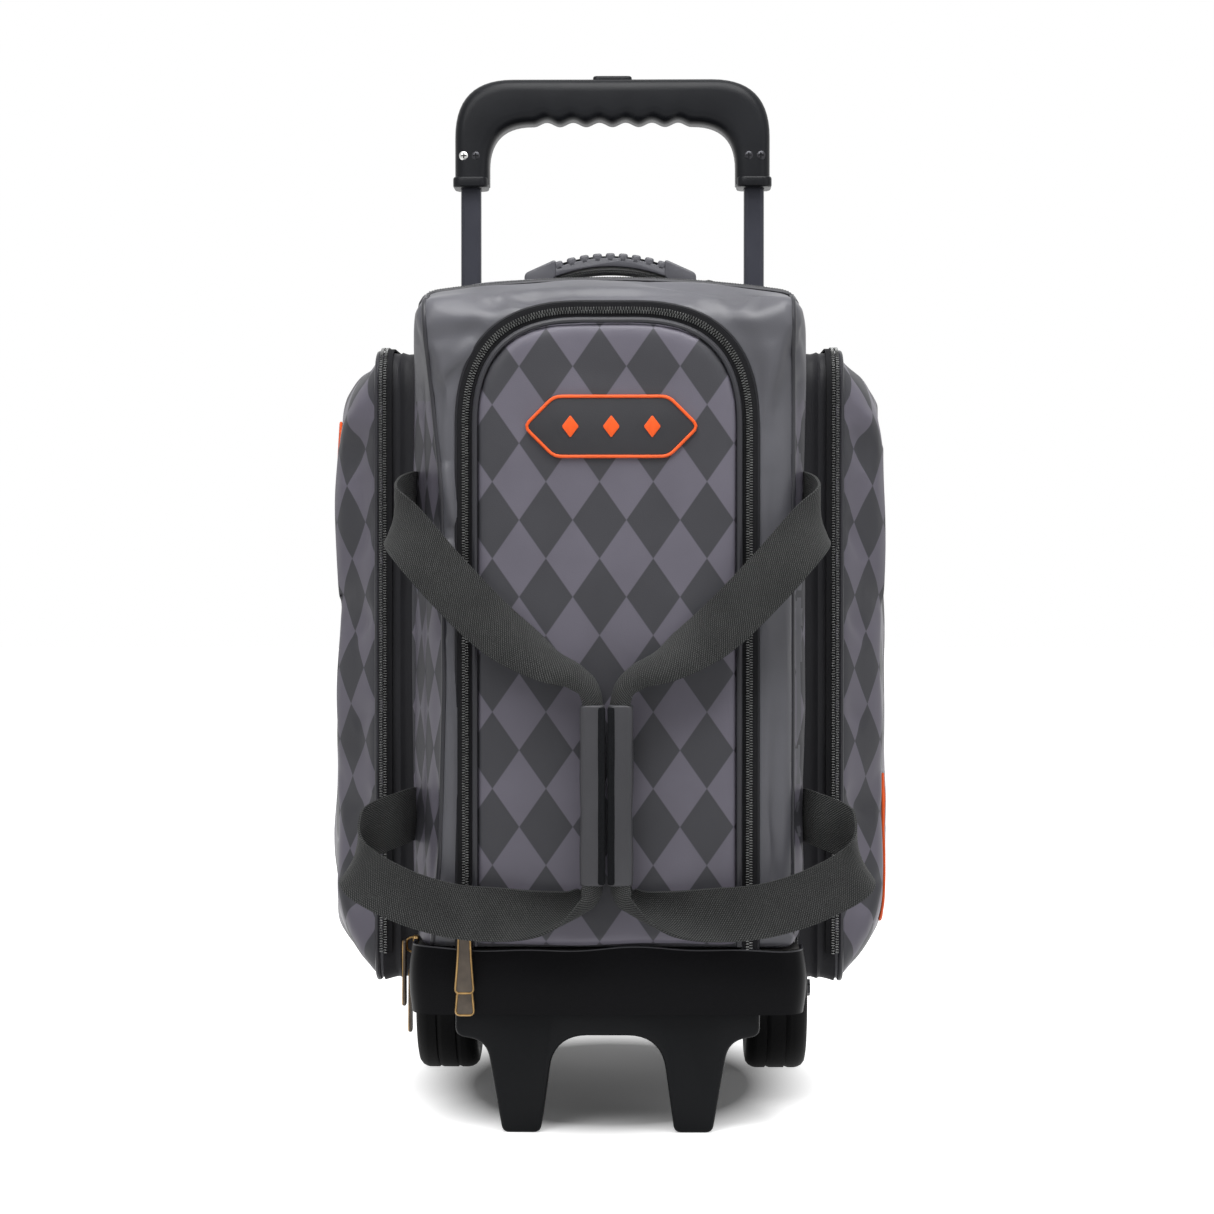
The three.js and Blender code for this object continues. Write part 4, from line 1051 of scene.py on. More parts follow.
def make_side_pocket(side, sign):
    root = HOOP_HIGH.x
    reach = COVER_HIGH.x - root

    def full(points):
        points = points.copy()
        fullest = 0.95 + 0.46 * np.exp(-(((points[:, 1] - 0.045) / 0.055) ** 2))
        points[:, 0] = root + (points[:, 0] - root) * bulge(points) * fullest
        return points

    def freedom(points):
        return ease((points[:, 0] - root - 0.004) / 0.015)

    name = f"pocket_cover_{side}"
    cover = cushion(f"{name}_skin", pocket_corners, "x", root - reach, root + reach, reach, rings=8)
    move_points(cover, full)
    swell(cover, 0.0055, 6 * MM, freedom, pressure=6.0, slack=0.03)
    rumple(cover, 0.055, 3.0 * MM, 5.0 + sign, freedom)
    for start, end, width, depth in COVER_FOLDS:
        fold(cover, start, end, width, depth * MM)
    cut_off(cover, (COVER_LOW.x, 0, 0), (-1, 0, 0))
    improve(cover, "SOLIDIFY", thickness=2.8 * MM, offset=-1)
    middle = (HOOP_LOW.y + HOOP_HIGH.y) / 2

    def around(points):
        gap = points[:, 1] - middle
        arc = np.abs(gap) + 0.75 * (COVER_HIGH.x - points[:, 0])
        return np.column_stack([np.sign(gap) * arc + 0.5 * DIAMOND_WIDE, points[:, 2] - PRINT_Z])

    unwrap(cover, around)

    gusset = make_gusset(f"pocket_gusset_{side}")
    tape_line = rounded(zip_corners(0.6 * MM), closed=False, steps=8)
    path = outline_path(tape_line, "x", (ZIP_LOW.x + ZIP_HIGH.x) / 2)
    half = (ZIP_HIGH.x - ZIP_LOW.x) / 2
    tape = sweep(f"pocket_tape_{side}", path, flat_section(-half, half, -0.6 * MM, 0.8 * MM))
    coil_path = path.copy()
    coil_path[:, 0] = root
    coil_path[:, :3] += coil_path[:, 3:6] * 0.5 * MM
    edge = rounded(pocket_corners(1.6 * MM), steps=8)
    cord = outline_path(edge, "x", root + 4.4 * MM, closed=True)
    welt = sweep(f"pocket_piping_{side}", cord, round_section(2.0 * MM), closed=True)
    edge = rounded(pocket_corners(1.0 * MM), steps=8)
    inner = outline_path(edge, "x", HOOP_LOW.x + 2 * MM, closed=True)
    foot_welt = sweep(f"pocket_seam_{side}", inner, round_section(1.6 * MM), closed=True)
    pieces = [cover, gusset, tape, welt, foot_welt]
    for shift, part, body, late in (
        (-1.5 * MM, "body", "bag", False), (1.5 * MM, "cover", f"cover_{side}", True),
    ):
        path = coil_path.copy()
        path[:, 0] += shift
        pieces.append(lay_row(f"pocket_coil_{part}_{side}", path, 0.0, body, late))
    mirror_left(sign, *pieces)
    hand_over(cover, f"cover_{side}", "coated_fabric", printed_cloth, black_cloth, stands_for=[name])
    paint(cover, 1, lambda spot, way: way.x * sign < -0.02)
    hand_over(gusset, "bag", "black_fabric", black_cloth, stands_for=[f"pocket_hoop_{side}"])
    hand_over(tape, "bag", "black_fabric", tape_cloth, stands_for=[f"pocket_zip_{side}"])
    hand_over(welt, f"cover_{side}", "black_fabric", piping_vinyl)
    hand_over(foot_welt, "bag", "black_fabric", black_cloth)


def zip_corners(grow):
    """The pocket zip's line: up the front, over the top and down the back."""
    _, _, third, back_top, front_top = pocket_corners(-grow)
    return [
        (third[0], ZIP_BACK_FOOT, 0), back_top, front_top, (front_top[0], ZIP_LOW.z, 0),
    ]


def make_gusset(name):
    """The pocket's side wall: a band of cloth, drawn in between its two edges, with a sewn ridge."""
    rings = 14
    loops = []
    for k in range(rings + 1):
        share = k / rings
        depth = HOOP_LOW.x + (HOOP_HIGH.x - HOOP_LOW.x) * share
        ridge = 1.4 * MM * math.exp(-(((share - 0.55) / 0.05) ** 2))
        corners = pocket_corners(max(2.6 * MM * math.sin(math.pi * share) - ridge, 0.0))
        loops.append(in_space(evenly(rounded(corners, steps=8), 6 * MM, True), "x", depth))
    count = min(len(loop) for loop in loops)
    piece = loft(name, [loop[:count] for loop in loops], capped=False)
    rumple(piece, 0.05, 1.4 * MM, 12.0, lambda points: ease((points[:, 0] - HOOP_LOW.x) / 0.01)
           * ease((HOOP_HIGH.x - points[:, 0]) / 0.01))
    improve(piece, "SOLIDIFY", thickness=2.2 * MM, offset=-1)
    return piece


# ---------- Handles ----------

FRONT = -179.6  # in mm, where the gathered webbing lies over the front
# Where the right handle's webbing runs, in mm: place, direction across it, and how wide it stays.
HANDLE = [
    ((138.5, -91.6, 451), (0, 0, 1), 38), ((139.5, -115.6, 451), (0, 0, 1), 38),
    ((146.0, -135.6, 446), (0.05, 0, 1), 38), ((148.0, -155.6, 436), (-0.15, 0.1, 0.97), 38),
    ((133.0, -171.6, 417), (-0.5, 0.1, 0.85), 38), ((107.0, -177.6, 388), (-0.66, 0.1, 0.72), 38),
    ((76.0, -178.6, 358), (-0.5, 0.25, 0.8), 37), ((44.0, FRONT, 338), (-0.35, 0.6, 0.6), 33),
    ((20.0, FRONT, 326), (-0.15, 0.9, 0.3), 24), ((9.7, FRONT, 306), (0, 1, 0), 20),
    ((9.7, FRONT, 244), (0, 1, 0), 20), ((9.7, FRONT, 182), (0, 1, 0), 20),
    ((20.0, FRONT, 167), (0, 0.9, 0.4), 24), ((44.0, FRONT, 160), (-0.1, 0.5, 0.85), 32),
    ((76.0, FRONT, 160), (0.05, 0.15, 1), 37), ((110.0, -178.6, 163), (-0.1, 0, 1), 38),
    ((147.0, -172.6, 174), (-0.3, 0, 0.95), 38), ((177.0, -156.6, 191), (-0.35, 0, 0.95), 38),
    ((171.0, -131.6, 211), (-0.2, 0, 1), 38), ((146.5, -115.6, 222), (0, 0, 1), 38),
    ((138.5, -91.6, 223), (0, 0, 1), 38),
]
STRAP_WIDE = 38 * MM
STRAP_THICK = 2 * MM


def smooth_line(stations, steps):
    """A soft curve through rows of numbers."""
    rows = np.array(stations, float)
    rows = np.vstack([2 * rows[0] - rows[1], rows, 2 * rows[-1] - rows[-2]])
    found = []
    for k in range(1, len(rows) - 2):
        a, b, c, d = rows[k - 1:k + 3]
        for i in range(steps):
            t = i / steps
            found.append(0.5 * (2 * b + (c - a) * t + (2 * a - 5 * b + 4 * c - d) * t ** 2
                                + (3 * b - a - 3 * c + d) * t ** 3))
    found.append(rows[-2])
    return np.array(found)


def curl_for(width):
    """Half the angle of an arc as long as the strap is wide whose ends are a width apart."""
    low, high = 1e-3, 2.4
    for _ in range(30):
        half = (low + high) / 2
        if math.sin(half) / half > width / STRAP_WIDE:
            low = half
        else:
            high = half
    return low


def strap_section(width):
    """Points round the strap's edge: flat where it lies open, curled over where it is gathered."""
    half = curl_for(min(width, 0.998 * STRAP_WIDE))
    radius = STRAP_WIDE / (2 * half)
    steps = 12
    inner, outer = [], []
    for k in range(steps + 1):
        turn = half * (2 * k / steps - 1)
        middle = radius * (1 + math.cos(half)) / 2
        for out, line in ((STRAP_THICK / 2, outer), (-STRAP_THICK / 2, inner)):
            line.append(((radius + out) * math.sin(turn), (radius + out) * math.cos(turn) - middle))
    return outer + inner[::-1]


def make_handle(side, sign):
    rows = smooth_line([(*at, *across, width) for at, across, width in HANDLE], 7)
    line = rows[:, :3] * MM
    across = rows[:, 3:6]
    ahead = headings(line)
    across = across - ahead * (across * ahead).sum(1, keepdims=True)
    across /= np.linalg.norm(across, axis=1, keepdims=True)
    out = np.cross(across, ahead)
    loops = []
    for k in range(len(line)):
        section = np.array(strap_section(rows[k, 6] * MM))
        loops.append(line[k] + across[k] * section[:, 0:1] + out[k] * section[:, 1:2])
    strap = loft(f"handle_webbing_{side}", loops)
    low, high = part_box("handle_sleeve_right")
    wrap = make_wrap(f"handle_wrap_{side}", low, high)
    strip = block(f"handle_fastener_{side}", (low.x - 0.4 * MM, low.y - 1.2 * MM, low.z + 1 * MM),
                  (low.x + 4.6 * MM, low.y + 6 * MM, high.z - 1 * MM), 1.6 * MM)
    mirror_left(sign, strap, wrap, strip)
    body = f"handle_{side}"
    hand_over(strap, body, "webbing", webbing_cloth, stands_for=[f"handle_webbing_{side}"])
    hand_over(wrap, body, "sleeve_fabric", wrap_leather, stands_for=[f"handle_sleeve_{side}"])
    hand_over(strip, body, "sleeve_fabric", fastener_pile)


def make_wrap(name, low, high):
    """The padded grip round a handle's webbing, closed at its two sewn ends."""

    def section(inset):
        return four_corners(low.x + inset, low.y + inset, high.x - inset, high.y - inset, 5 * MM)

    piece = cushion(name, section, "z", low.z, high.z, 1.4 * MM, rings=3)
    edit(piece)
    bpy.ops.mesh.bisect(plane_co=(0, 0, low.z + 6 * MM), plane_no=(0, 0, 1))
    for share in (0.2, 0.4, 0.6, 0.8):
        bpy.ops.mesh.select_all(action="SELECT")
        bpy.ops.mesh.bisect(plane_co=(0, 0, low.z + (high.z - low.z) * share), plane_no=(0, 0, 1))
    leave()
    improve(piece, "SUBSURF", levels=1, render_levels=1, subdivision_type="SIMPLE")
    rumple(piece, 0.03, 1.0 * MM, 31.0)
    return piece


# ---------- Bumper and feet ----------

def make_bumper():
    """The vinyl bumper across the foot of the front, with a soft wavy hem whose rolled top edge carries a
    painted highlight.
    """
    low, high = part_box("front_skirt")
    plan = arch(0.1378, DOOR_LOW.y - 3 * MM, -0.112, 20 * MM)
    path = outline_path(rounded(plan, closed=False, steps=8), "z", 0.0)
    bottom = low.z + 11 * MM
    loops = []
    for row in path:
        hem = high.z + (1.2 * math.sin(row[0] * 38 + 0.6) + 0.8 * math.sin(row[0] * 83)) * MM
        wave = 1.6 * MM * noise.noise(Vector((row[0] * 26, 4.0, row[1] * 10)))
        section = []
        for share in np.linspace(0, 1, 9):
            swing = 2.4 * MM * math.sin(math.pi * share) + wave * share
            section.append((hem - (hem - bottom) * share, 1.2 * MM + swing))
        section = [(hem + 0.3 * MM, 0.6 * MM), *section]
        section += [(v, n - 2.6 * MM) for v, n in reversed(section[1:])]
        loops.append([row[:3] + row[3:6] * n + np.array((0, 0, v)) for v, n in section])
    piece = loft("bumper", loops)
    hand_over(piece, "front", "moulded_black", bumper_vinyl, stands_for=["front_skirt"])
    # A thin rolled edge along the hem in the lighter piping vinyl: the edge is real, and its lighter colour is a
    # painted highlight.
    hems = np.array([loop[0] for loop in loops])
    cord = np.column_stack([hems, path[:, 3:6]])
    lay_cord("bumper_hem_highlight", cord, 0.7 * MM, "front", piping_vinyl, slot="moulded_black", sides=6)


def make_feet():
    low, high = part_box("front_feet")
    beam = high.z - 18.7 * MM
    middle = 61 * MM
    side = [
        (middle - 23 * MM, beam, 24 * MM), (middle - 13.5 * MM, 0, 5 * MM), (middle + 13.5 * MM, 0, 5 * MM),
        (middle + 25 * MM, beam - 4 * MM, 12 * MM), (high.x, beam, 6 * MM), (high.x, high.z, 5 * MM),
    ]
    corners = [(-u, v, radius) for u, v, radius in reversed(side)] + side
    piece = plate("front_feet_moulding", rounded(corners, steps=9), "y", low.y, high.y, 2.8 * MM)
    hand_over(piece, "bag", "moulded_black", foot_plastic, stands_for=["front_feet"])


# ---------- Wheels ----------

def make_wheel(side):
    low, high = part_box(f"tyre_{side}")
    centre = (low + high) / 2
    half = (high.x - low.x) / 2
    radius = (high.z - low.z) / 2
    rim = 46 * MM
    tread = []
    for k in range(9):
        at = -half + 9 * MM + (2 * half - 18 * MM) * k / 8
        groove = 1.2 * MM if k in (2, 6) else 0.0
        tread += [(radius, at - 0.8 * MM), (radius - groove, at)]
    shoulder = [
        (rim, -half + 3 * MM), (rim + 4 * MM, -half + 1 * MM), (radius - 9 * MM, -half),
        (radius - 5 * MM, -half + 0.8 * MM), (radius - 2.2 * MM, -half + 3 * MM),
        (radius - 0.6 * MM, -half + 6 * MM),
    ]
    profile = shoulder + tread + [(r, -at) for r, at in reversed(shoulder)]
    tyre = turned(f"wheel_tyre_{side}", profile, "x", centre, 56)
    hand_over(tyre, f"wheel_{side}", "tyre", tyre_rubber, stands_for=[f"tyre_{side}"])
    edge, web = half - 4 * MM, 5 * MM
    face = [(12 * MM, edge), (16 * MM, edge), (17.5 * MM, edge - 1.5 * MM), (18 * MM, web + 2 * MM),
            (20 * MM, web), (rim - 9 * MM, web), (rim - 7 * MM, web + 2 * MM), (rim - 5 * MM, edge - 1 * MM),
            (rim - 4 * MM, edge), (rim - 1 * MM, edge)]
    hub = turned(f"wheel_disc_{side}", [(r, -at) for r, at in reversed(face)] + face, "x", centre, 48)
    rib_from, rib_to = 17 * MM, rim - 6 * MM
    ribs = [hub]
    reach = edge - 2 * MM
    for k in range(6):
        rib = block("rib", (-reach, -1.5 * MM, rib_from), (reach, 1.5 * MM, rib_to), 0.6 * MM, 2)
        rib.rotation_euler = (math.pi / 3 * k, 0, 0)
        rib.location = centre
        take(rib)
        bpy.ops.object.transform_apply(location=True, rotation=True)
        ribs.append(rib)
    joined(ribs)
    hand_over(hub, f"wheel_{side}", "moulded_black", moulded_black, stands_for=[f"wheel_hub_{side}"])


# ---------- Trolley ----------

GRIP_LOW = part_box("grip_front")[0]
GRIP_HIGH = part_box("grip_back")[1]
WAVES, WAVE, WAVE_DEPTH = 6, 21 * MM, 3.5 * MM


def arch_line(half, top, bottom, corner):
    """Half an arch's outline on each side of a straight top, with as many points whatever its size."""
    line = rounded(arch(half, top, bottom, corner), closed=False, steps=14)
    middle = len(line) // 2
    share = np.linspace(0, 1, 98)[1:-1, None]
    flat = line[middle - 1] * (1 - share) + line[middle] * share
    legs = np.linspace(0, 1, 6)[1:-1, None]
    rise = line[0] * (1 - legs) + line[1] * legs
    fall = line[-2] * (1 - legs) + line[-1] * legs
    return np.vstack([line[:1], rise, line[1:middle], flat, line[middle:-1], fall, line[-1:]])


def grip_loops():
    half, top, bottom = GRIP_HIGH.x, GRIP_HIGH.z, GRIP_LOW.z
    outer = arch_line(half, top, bottom, 46 * MM)
    inner = arch_line(half - 27.5 * MM, bottom + 48 * MM, bottom, 34 * MM)
    waves = WAVES * WAVE / 2
    lift = WAVE_DEPTH * np.sin(math.pi * (inner[:, 0] + waves) / WAVE) ** 2
    on_top = (np.abs(inner[:, 0]) < waves) & (inner[:, 1] > bottom + 47.9 * MM)
    inner[:, 1] += np.where(on_top, lift, 0)
    deep = (GRIP_HIGH.y - GRIP_LOW.y) / 2
    loops = []
    for far, near in zip(outer, inner):
        reach = np.linalg.norm(far - near) / 2
        section = rounded(four_corners(-reach, -deep, reach, deep, 11 * MM), steps=6)
        way = (far - near) / (2 * reach)
        spots = (far + near) / 2 + way * section[:, 0:1]
        depth = section[:, 1] + (GRIP_LOW.y + GRIP_HIGH.y) / 2
        loops.append(np.column_stack([spots[:, 0], depth, spots[:, 1]]))
    return loops


def make_trolley_grip():
    """The arched grip in two moulded halves with a fine parting line, and the button in its top."""
    low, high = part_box("release_button")
    for name, way, edge in (("front", 1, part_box("grip_front")[1].y), ("back", -1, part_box("grip_back")[0].y)):
        half = loft(f"grip_{name}_half", grip_loops())
        cut_off(half, (0, edge, 0), (0, way, 0), fill=True)
        well = block("well", (low.x - 0.4 * MM, low.y - 0.4 * MM, high.z - 18 * MM),
                     (high.x + 0.4 * MM, high.y + 0.4 * MM, high.z + 10 * MM))
        carve(half, well)
        hand_over(half, "trolley_upper", "moulded_black", moulded_black, stands_for=[f"grip_{name}"],
                  smooth=35)
    corners = four_corners(low.x, low.y, high.x, high.y, 4 * MM)
    button = plate("grip_button", rounded(corners, steps=6), "z", high.z - 12 * MM, high.z, 1.6 * MM, 4)
    hand_over(button, "release", "moulded_black", moulded_black,
              stands_for=["release_button", "release_yoke"])
    for side, sign in SIDES.items():
        tube_low, tube_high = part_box(f"upper_tube_{side}")
        middle = (tube_low.x + tube_high.x) / 2
        half_wide, proud = 13.9 * MM, 1.2 * MM
        outline = four_corners(middle - half_wide, GRIP_LOW.y - proud, middle + half_wide,
                               GRIP_HIGH.y + proud, 8 * MM)
        ferrule = plate(f"grip_ferrule_{side}", rounded(outline, steps=8), "z", GRIP_LOW.z - 2.4 * MM,
                        GRIP_LOW.z + 6 * MM, 1.6 * MM, 3)
        bore = block("bore", (tube_low.x - 0.2 * MM, tube_low.y - 0.2 * MM, GRIP_LOW.z - 20 * MM),
                     (tube_high.x + 0.2 * MM, tube_high.y + 0.2 * MM, GRIP_LOW.z + 20 * MM))
        carve(ferrule, bore)
        hand_over(ferrule, "trolley_upper", "moulded_black", moulded_black)
        screw_low, screw_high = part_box(f"grip_screw_{side}")
        outer = (screw_low.x + screw_high.x) / 2
        height = (screw_low.z + screw_high.z) / 2
        for place, across in (("outer", outer), ("inner", outer - sign * 9.5 * MM)):
            bright = side == "left" and place == "outer"
            make_screw(f"grip_screw_{place}_{side}", (across, screw_low.y, height), bright,
                       [f"grip_screw_{side}"] if place == "outer" else [])


def make_screw(name, centre, bright, nodes):
    """A crosshead screw with its domed head just proud of the grip."""
    profile = [(0, -0.6 * MM), (1.6 * MM, -0.55 * MM), (3.0 * MM, -0.2 * MM), (3.8 * MM, 0.5 * MM),
               (3.8 * MM, 2.0 * MM), (1.5 * MM, 2.4 * MM), (1.5 * MM, 12 * MM), (0, 12 * MM)]
    screw = turned(name, profile, "y", centre, 24)
    for wide, tall in ((4.4 * MM, 1.0 * MM), (1.0 * MM, 4.4 * MM)):
        slot = block("slot", (centre[0] - wide / 2, centre[1] - 2 * MM, centre[2] - tall / 2),
                     (centre[0] + wide / 2, centre[1] + 0.9 * MM, centre[2] + tall / 2))
        carve(screw, slot)
    hand_over(screw, "trolley_upper", "bolt_steel", bright_steel if bright else black_steel, stands_for=nodes)


def make_top_grip():
    """The carrying grip on the top: a bowed rubber moulding with slots between its ribs."""
    low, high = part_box("top_grip")
    strap_low, strap_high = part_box("top_grip_strap")
    half = high.x
    bow = 16 * MM

    def height(x):
        return high.z - bow * (x / half) ** 2

    thick = 12 * MM
    end, reach, bed = high.z - bow, 63 * MM, 5.5 * MM
    corners = [
        (-half, end - thick, 3 * MM), (-half, end - bed, 3 * MM), (0, end - bed + 2 * bow, reach),
        (half, end - bed, 3 * MM), (half, end - thick, 3 * MM), (0, end - thick + 2 * bow, reach),
    ]
    grip = plate("top_grip_moulding", rounded(corners, steps=40), "y", low.y, high.y, 0.7 * MM, 2)
    parts = [grip]
    for k in range(9):
        x = (k - 4) * 10 * MM
        rib = block("rib", (-3.5 * MM, low.y, -bed - 2 * MM), (3.5 * MM, high.y, 0), 1.8 * MM, 3)
        rib.rotation_euler = (0, math.atan(2 * bow * x / half ** 2), 0)
        rib.location = (x, 0, height(x))
        take(rib)
        bpy.ops.object.transform_apply(location=True, rotation=True)
        parts.append(rib)
    joined(parts)
    hand_over(grip, "bag", "grip_rubber", rib_rubber, stands_for=["top_grip"])
    marks = np.linspace(-0.048, 0.048, 33)
    core = [(x, height(x) - 2.2 * MM) for x in marks]
    base = [(x, height(x) - 7 * MM) for x in marks[::-1]]
    bolster = plate("top_grip_core", np.array(core + base), "y", low.y + 2.2 * MM, high.y - 2.2 * MM)
    hand_over(bolster, "bag", "webbing", fastener_pile)
    for side, sign in SIDES.items():
        inner, outer = half - 23 * MM, half + 1 * MM
        shape = [(inner, 2.0 * MM), (outer, 1.2 * MM), (outer, -thick - 0.6 * MM), (inner, -thick - 0.6 * MM)]
        line = rounded([(sign * x, height(x) + lift, 3.2 * MM) for x, lift in shape], steps=5)
        end = plate(f"top_grip_ferrule_{side}", line, "y", low.y - 1 * MM, high.y + 1 * MM, 1.6 * MM, 3)
        hand_over(end, "bag", "grip_rubber", rib_rubber)
    rows = []
    for x in np.linspace(-strap_high.x, strap_high.x, 61):
        past = max(abs(x) - half, 0) / (strap_high.x - half)
        loop = 6.5 * MM * math.sin(math.pi * min(1.0, past)) if past else 0.0
        flat = SHELL_HIGH.z + (2.6 * MM - CROWN_FALL * (x / CROWN_HALF) ** 2)
        z = max(flat + 1.6 * MM, height(x) - thick - 1.6 * MM) if past == 0 else flat + 1.6 * MM + loop
        rows.append((x, (strap_low.y + strap_high.y) / 2, z, 0, 0, 1))
    wide = (strap_high.y - strap_low.y) / 2
    section = flat_section(-wide, wide, -1.2 * MM, 1.2 * MM, 0.5 * MM)
    strap = sweep("top_grip_webbing", np.array(rows), section)
    hand_over(strap, "bag", "webbing", webbing_cloth, stands_for=["top_grip_strap"])


# ---------- Badges ----------

def hexagon(length, width, standing=False):
    l, w = length / 2, width / 2
    corners = [(-l, 0), (-l + w, -w), (l - w, -w), (l, 0), (l - w, w), (-l + w, w)]
    if standing:
        corners = [(v, u) for u, v in corners]
    return [(u, v, 5 * MM) for u, v in corners]


def make_badge(name, axis, middle, size, standing, far, body, bend=None):
    """A rubber badge: a black field, an orange rim round it and three small diamonds."""
    low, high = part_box(name)
    u, v, w = AXES[axis]
    back = high[w] if far < 0 else low[w]
    front = back + far * 1.4 * MM

    def moved(line):
        return line + np.array((middle[u], middle[v]))

    outline = moved(rounded(hexagon(*size, standing), steps=6))
    field = plate(f"{name}_field", outline, axis, *sorted((back, front)), 0.4 * MM, 2)
    rim = outline_path(outline, axis, front, 3 * MM, closed=True)
    rim[:, 3:6] = 0
    rim[:, 3 + w] = far
    edge = sweep(f"{name}_rim", rim, round_section(1.15 * MM), closed=True)
    marks = []
    for k in (-1, 0, 1):
        shift = k * size[0] * 0.235
        du, dv = (0, shift) if standing else (shift, 0)
        corners = [(du - 6 * MM, dv, 0.6 * MM), (du, dv - 8 * MM, 0.6 * MM), (du + 6 * MM, dv, 0.6 * MM),
                   (du, dv + 8 * MM, 0.6 * MM)]
        line = moved(rounded(corners, steps=2))
        depths = sorted((front - far * 0.3 * MM, front + far * 0.8 * MM))
        marks.append(plate(f"{name}_mark_{k + 2}", line, axis, *depths, 0.3 * MM, 2))
    if bend:
        improve(field, "SUBSURF", levels=2, render_levels=2, subdivision_type="SIMPLE")
        for piece in (field, edge, *marks):
            move_points(piece, bend)
    hand_over(field, body, "badge_rubber", badge_black, stands_for=[name])
    for piece in (edge, *marks):
        hand_over(piece, body, "badge_rubber", badge_orange)


def make_badges():
    low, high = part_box("front_badge")
    make_badge("front_badge", "y", (low + high) / 2, (0.122, 0.042), False, -1, "front")
    forward = Vector((0, -26 * MM, 0))
    for side, sign in SIDES.items():
        low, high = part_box(f"pocket_badge_{side}")
        back = low.x if sign > 0 else high.x
        skin = skin_of(f"pocket_cover_{side}_skin")

        def follow(points):
            points = points.copy()
            for spot in points:
                hit = skin.ray_cast(Vector((sign, spot[1], spot[2])), Vector((-sign, 0, 0)))[0]
                spot[0] += hit.x - back
            return points

        middle = (low + high) / 2 + forward
        make_badge(f"pocket_badge_{side}", "x", middle, (0.114, 0.036), True, sign, f"cover_{side}", follow)


# ---------- Zip sliders and pulls ----------

def pull_outline(top, length, width):
    eye = width * 0.3
    return [
        (-width / 2, top - length, 4.5 * MM), (width / 2, top - length, 4.5 * MM),
        (width * 0.36, top - length * 0.5, 10 * MM), (eye, top, 3.5 * MM), (-eye, top, 3.5 * MM),
        (-width * 0.36, top - length * 0.5, 10 * MM),
    ]


def zip_parts(name, height, length, stand_off):
    """A slider, its bail and its pull, made at x = 0 with the zip's face at y = 0 and towards -y."""
    body = plate(f"{name}_slider", rounded([
        (-4.6 * MM, height - 7 * MM, 2.5 * MM), (4.6 * MM, height - 7 * MM, 2.5 * MM),
        (5 * MM, height + 7.4 * MM, 4 * MM), (-5 * MM, height + 7.4 * MM, 4 * MM)], steps=4),
        "y", -4.4 * MM, -0.1 * MM, 0.9 * MM, 3)
    arch = [(-4.2 * MM, height - 5 * MM, 0), (-stand_off, height - 4 * MM, 3 * MM),
            (-stand_off, height + 5 * MM, 3 * MM), (-4.2 * MM, height + 6 * MM, 0)]
    line = evenly(rounded(arch, closed=False, steps=5), 0.0008)
    spots = np.column_stack([np.zeros(len(line)), line, np.tile((1.0, 0.0, 0.0), (len(line), 1))])
    bail = sweep(f"{name}_bail", spots, [(s * 0.9, n * 1.9) for s, n in round_section(1.0 * MM)])
    top = height + 4 * MM
    outline = rounded(pull_outline(top, length, 15 * MM), steps=6)
    face = -stand_off - 0.5 * MM
    tab = plate(f"{name}_pull", outline, "y", face - 1.9 * MM, face, 0.5 * MM, 2)
    rim_line = outline_path(outline, "y", face - 1.9 * MM, 0.002, closed=True)
    rim_line[:, :3] -= rim_line[:, 3:6] * 0.8 * MM
    rim_line[:, 3:6] = (0, -1, 0)
    rim = sweep(f"{name}_pull_rim", rim_line, round_section(0.75 * MM, 6), closed=True)
    return [body, bail], [tab, rim]


def place_parts(pieces, turn, place):
    for piece in pieces:
        spots = points_of(piece)
        c, s = math.cos(turn), math.sin(turn)
        x, y, z = spots.T
        set_points(piece, np.column_stack([x * c - y * s, x * s + y * c, z]) + np.array(place))


def make_zip_pulls():
    """Every zip's slider and pull. Those with a pull body of their own hang free."""
    jobs = [
        ("front_upper", 0, "front_zip", "front_pull"), ("front_lower", 0, "front_zip_lower", None),
        ("main_upper", -1, "main_zip", "main_pull"), ("main_lower", -1, "main_zip_lower", None),
        *[(f"pocket_{side}", 2, f"pocket_zip_{side}", None) for side in SIDES],
    ]
    for name, quarters, body, pull_body in jobs:
        node = name.replace("_", "_slider_")
        low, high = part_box(node)
        centre = (low + high) / 2
        place = {0: (centre.x, high.y, 0), -1: (high.x, centre.y, 0), 2: (centre.x, low.y, 0)}[quarters]
        if pull_body:
            sizes, pull_nodes = (centre.z, 48 * MM, 9.0 * MM), [name.replace("_", "_pull_")]
        else:
            sizes, pull_nodes = (high.z - 7.6 * MM, 46 * MM, 4.6 * MM), []
        fixed, hanging = zip_parts(f"{name}_zip", *sizes)
        place_parts(fixed + hanging, quarters * QUARTER, place)
        for piece, rides, finish, nodes in (
            (fixed[0], body, aged_brass, [node]), (fixed[1], body, aged_brass, []),
            (hanging[0], pull_body or body, pull_enamel, pull_nodes),
            (hanging[1], pull_body or body, aged_brass, []),
        ):
            hand_over(piece, rides, "zip_brass", finish, stands_for=nodes)


# ---------- Back and inside ----------

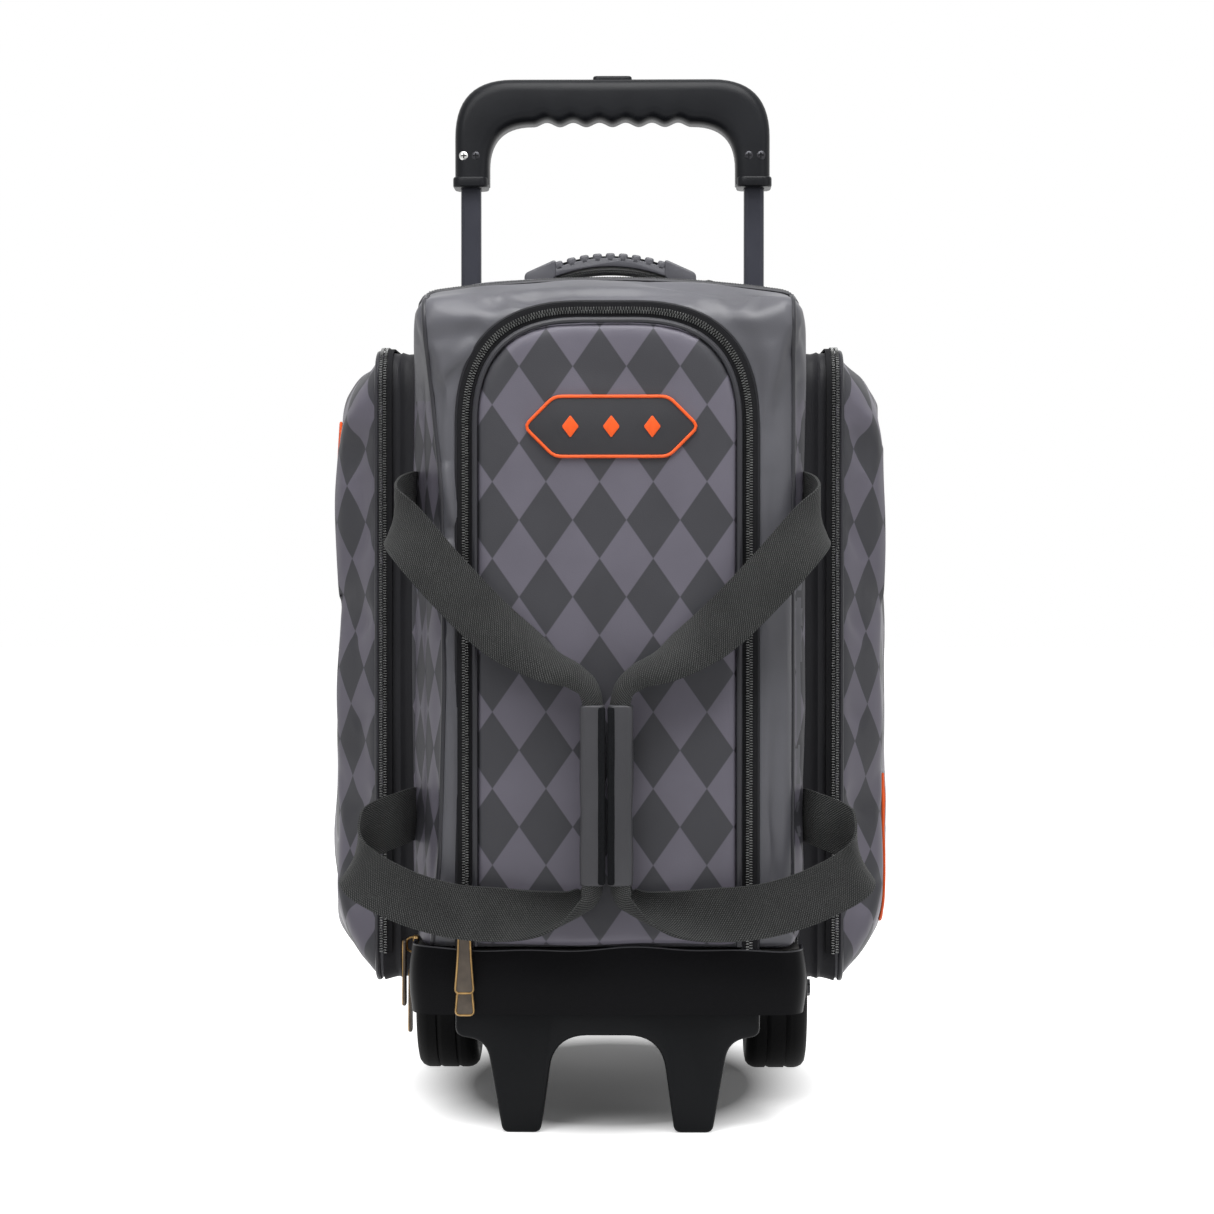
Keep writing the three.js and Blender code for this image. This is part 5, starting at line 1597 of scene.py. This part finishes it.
def make_back():
    low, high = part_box("back_cover")

    def section(inset):
        return four_corners(low.x + inset, low.z + inset, high.x - inset, high.z - inset, 8 * MM, 6 * MM)

    piece = cushion("back_panel", section, "y", low.y - 6 * MM, high.y, 6 * MM)
    swell(piece, 0.006, 2.5 * MM)
    move_points(piece, lambda points: np.column_stack(
        [points[:, 0], np.minimum(points[:, 1], high.y + 1.5 * MM), points[:, 2]]))
    cut_off(piece, (0, low.y, 0), (0, -1, 0), fill=True)
    hand_over(piece, "bag", "black_fabric", black_cloth, stands_for=["back_cover"])
    edge = outline_path(rounded(section(3 * MM), steps=8), "y", high.y - 2 * MM, closed=True)
    lay_cord("back_piping", edge, 1.8 * MM, "bag", piping_vinyl, closed=True)


BALL_RADIUS = 0.1085


def make_foam():
    """The two foam layers that the balls sit in, each dished to a ball's shape."""
    for name in ("lower", "upper"):
        low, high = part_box(f"ball_cup_{name}")
        foam = block(f"foam_{name}", low, high, 4 * MM, 3)
        place = (0, 2.4 * MM, low.z + 8 * MM + BALL_RADIUS)
        bpy.ops.mesh.primitive_uv_sphere_add(segments=48, ring_count=32, radius=BALL_RADIUS, location=place)
        ball = named("ball")
        carve(foam, ball)
        hand_over(foam, "bag", "foam", foam_black, stands_for=[f"ball_cup_{name}"])


KEPT_NODES = {
    "base_tray": moulded_black, "base_board": fibre_board, "trolley_foot": moulded_black,
    "trolley_bezel": moulded_black,
}
KEPT_PAIRS = {
    "wheel_bracket": moulded_black, "axle_bolt": black_steel, "wheel_bush": bright_steel,
    "outer_tube": tube_metal, "mid_tube": tube_metal, "upper_tube": tube_metal,
}


def dress_kept_nodes():
    """The CAD solids that stay get their finish and softened edges."""
    wanted = dict(KEPT_NODES)
    for side in SIDES:
        wanted.update({f"{name}_{side}": material for name, material in KEPT_PAIRS.items()})
    for name, material in wanted.items():
        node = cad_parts[name]
        node.data.materials.clear()
        node.data.materials.append(material)
        weld = node.modifiers.new("weld", "WELD")
        weld.merge_threshold = 1e-5
        soften = node.modifiers.new("soften", "BEVEL")
        soften.width = 0.7 * MM
        soften.segments = 2
        soften.limit_method = "ANGLE"
        soften.angle_limit = math.radians(40)


# ---------- All together ----------

place_camera()
light_the_room()
lay_floor()
make_shell()
make_door()
make_door_piping()
make_pocket_pad()
make_front_pocket_zip()
make_main_zip()
for side_name, side_sign in SIDES.items():
    make_side_pocket(side_name, side_sign)
    make_handle(side_name, side_sign)
    make_wheel(side_name)
make_bumper()
make_feet()
make_trolley_grip()
make_top_grip()
make_badges()
make_zip_pulls()
make_back()
make_foam()
dress_kept_nodes()

view = bpy.context.scene.view_settings
view.view_transform = "Standard"
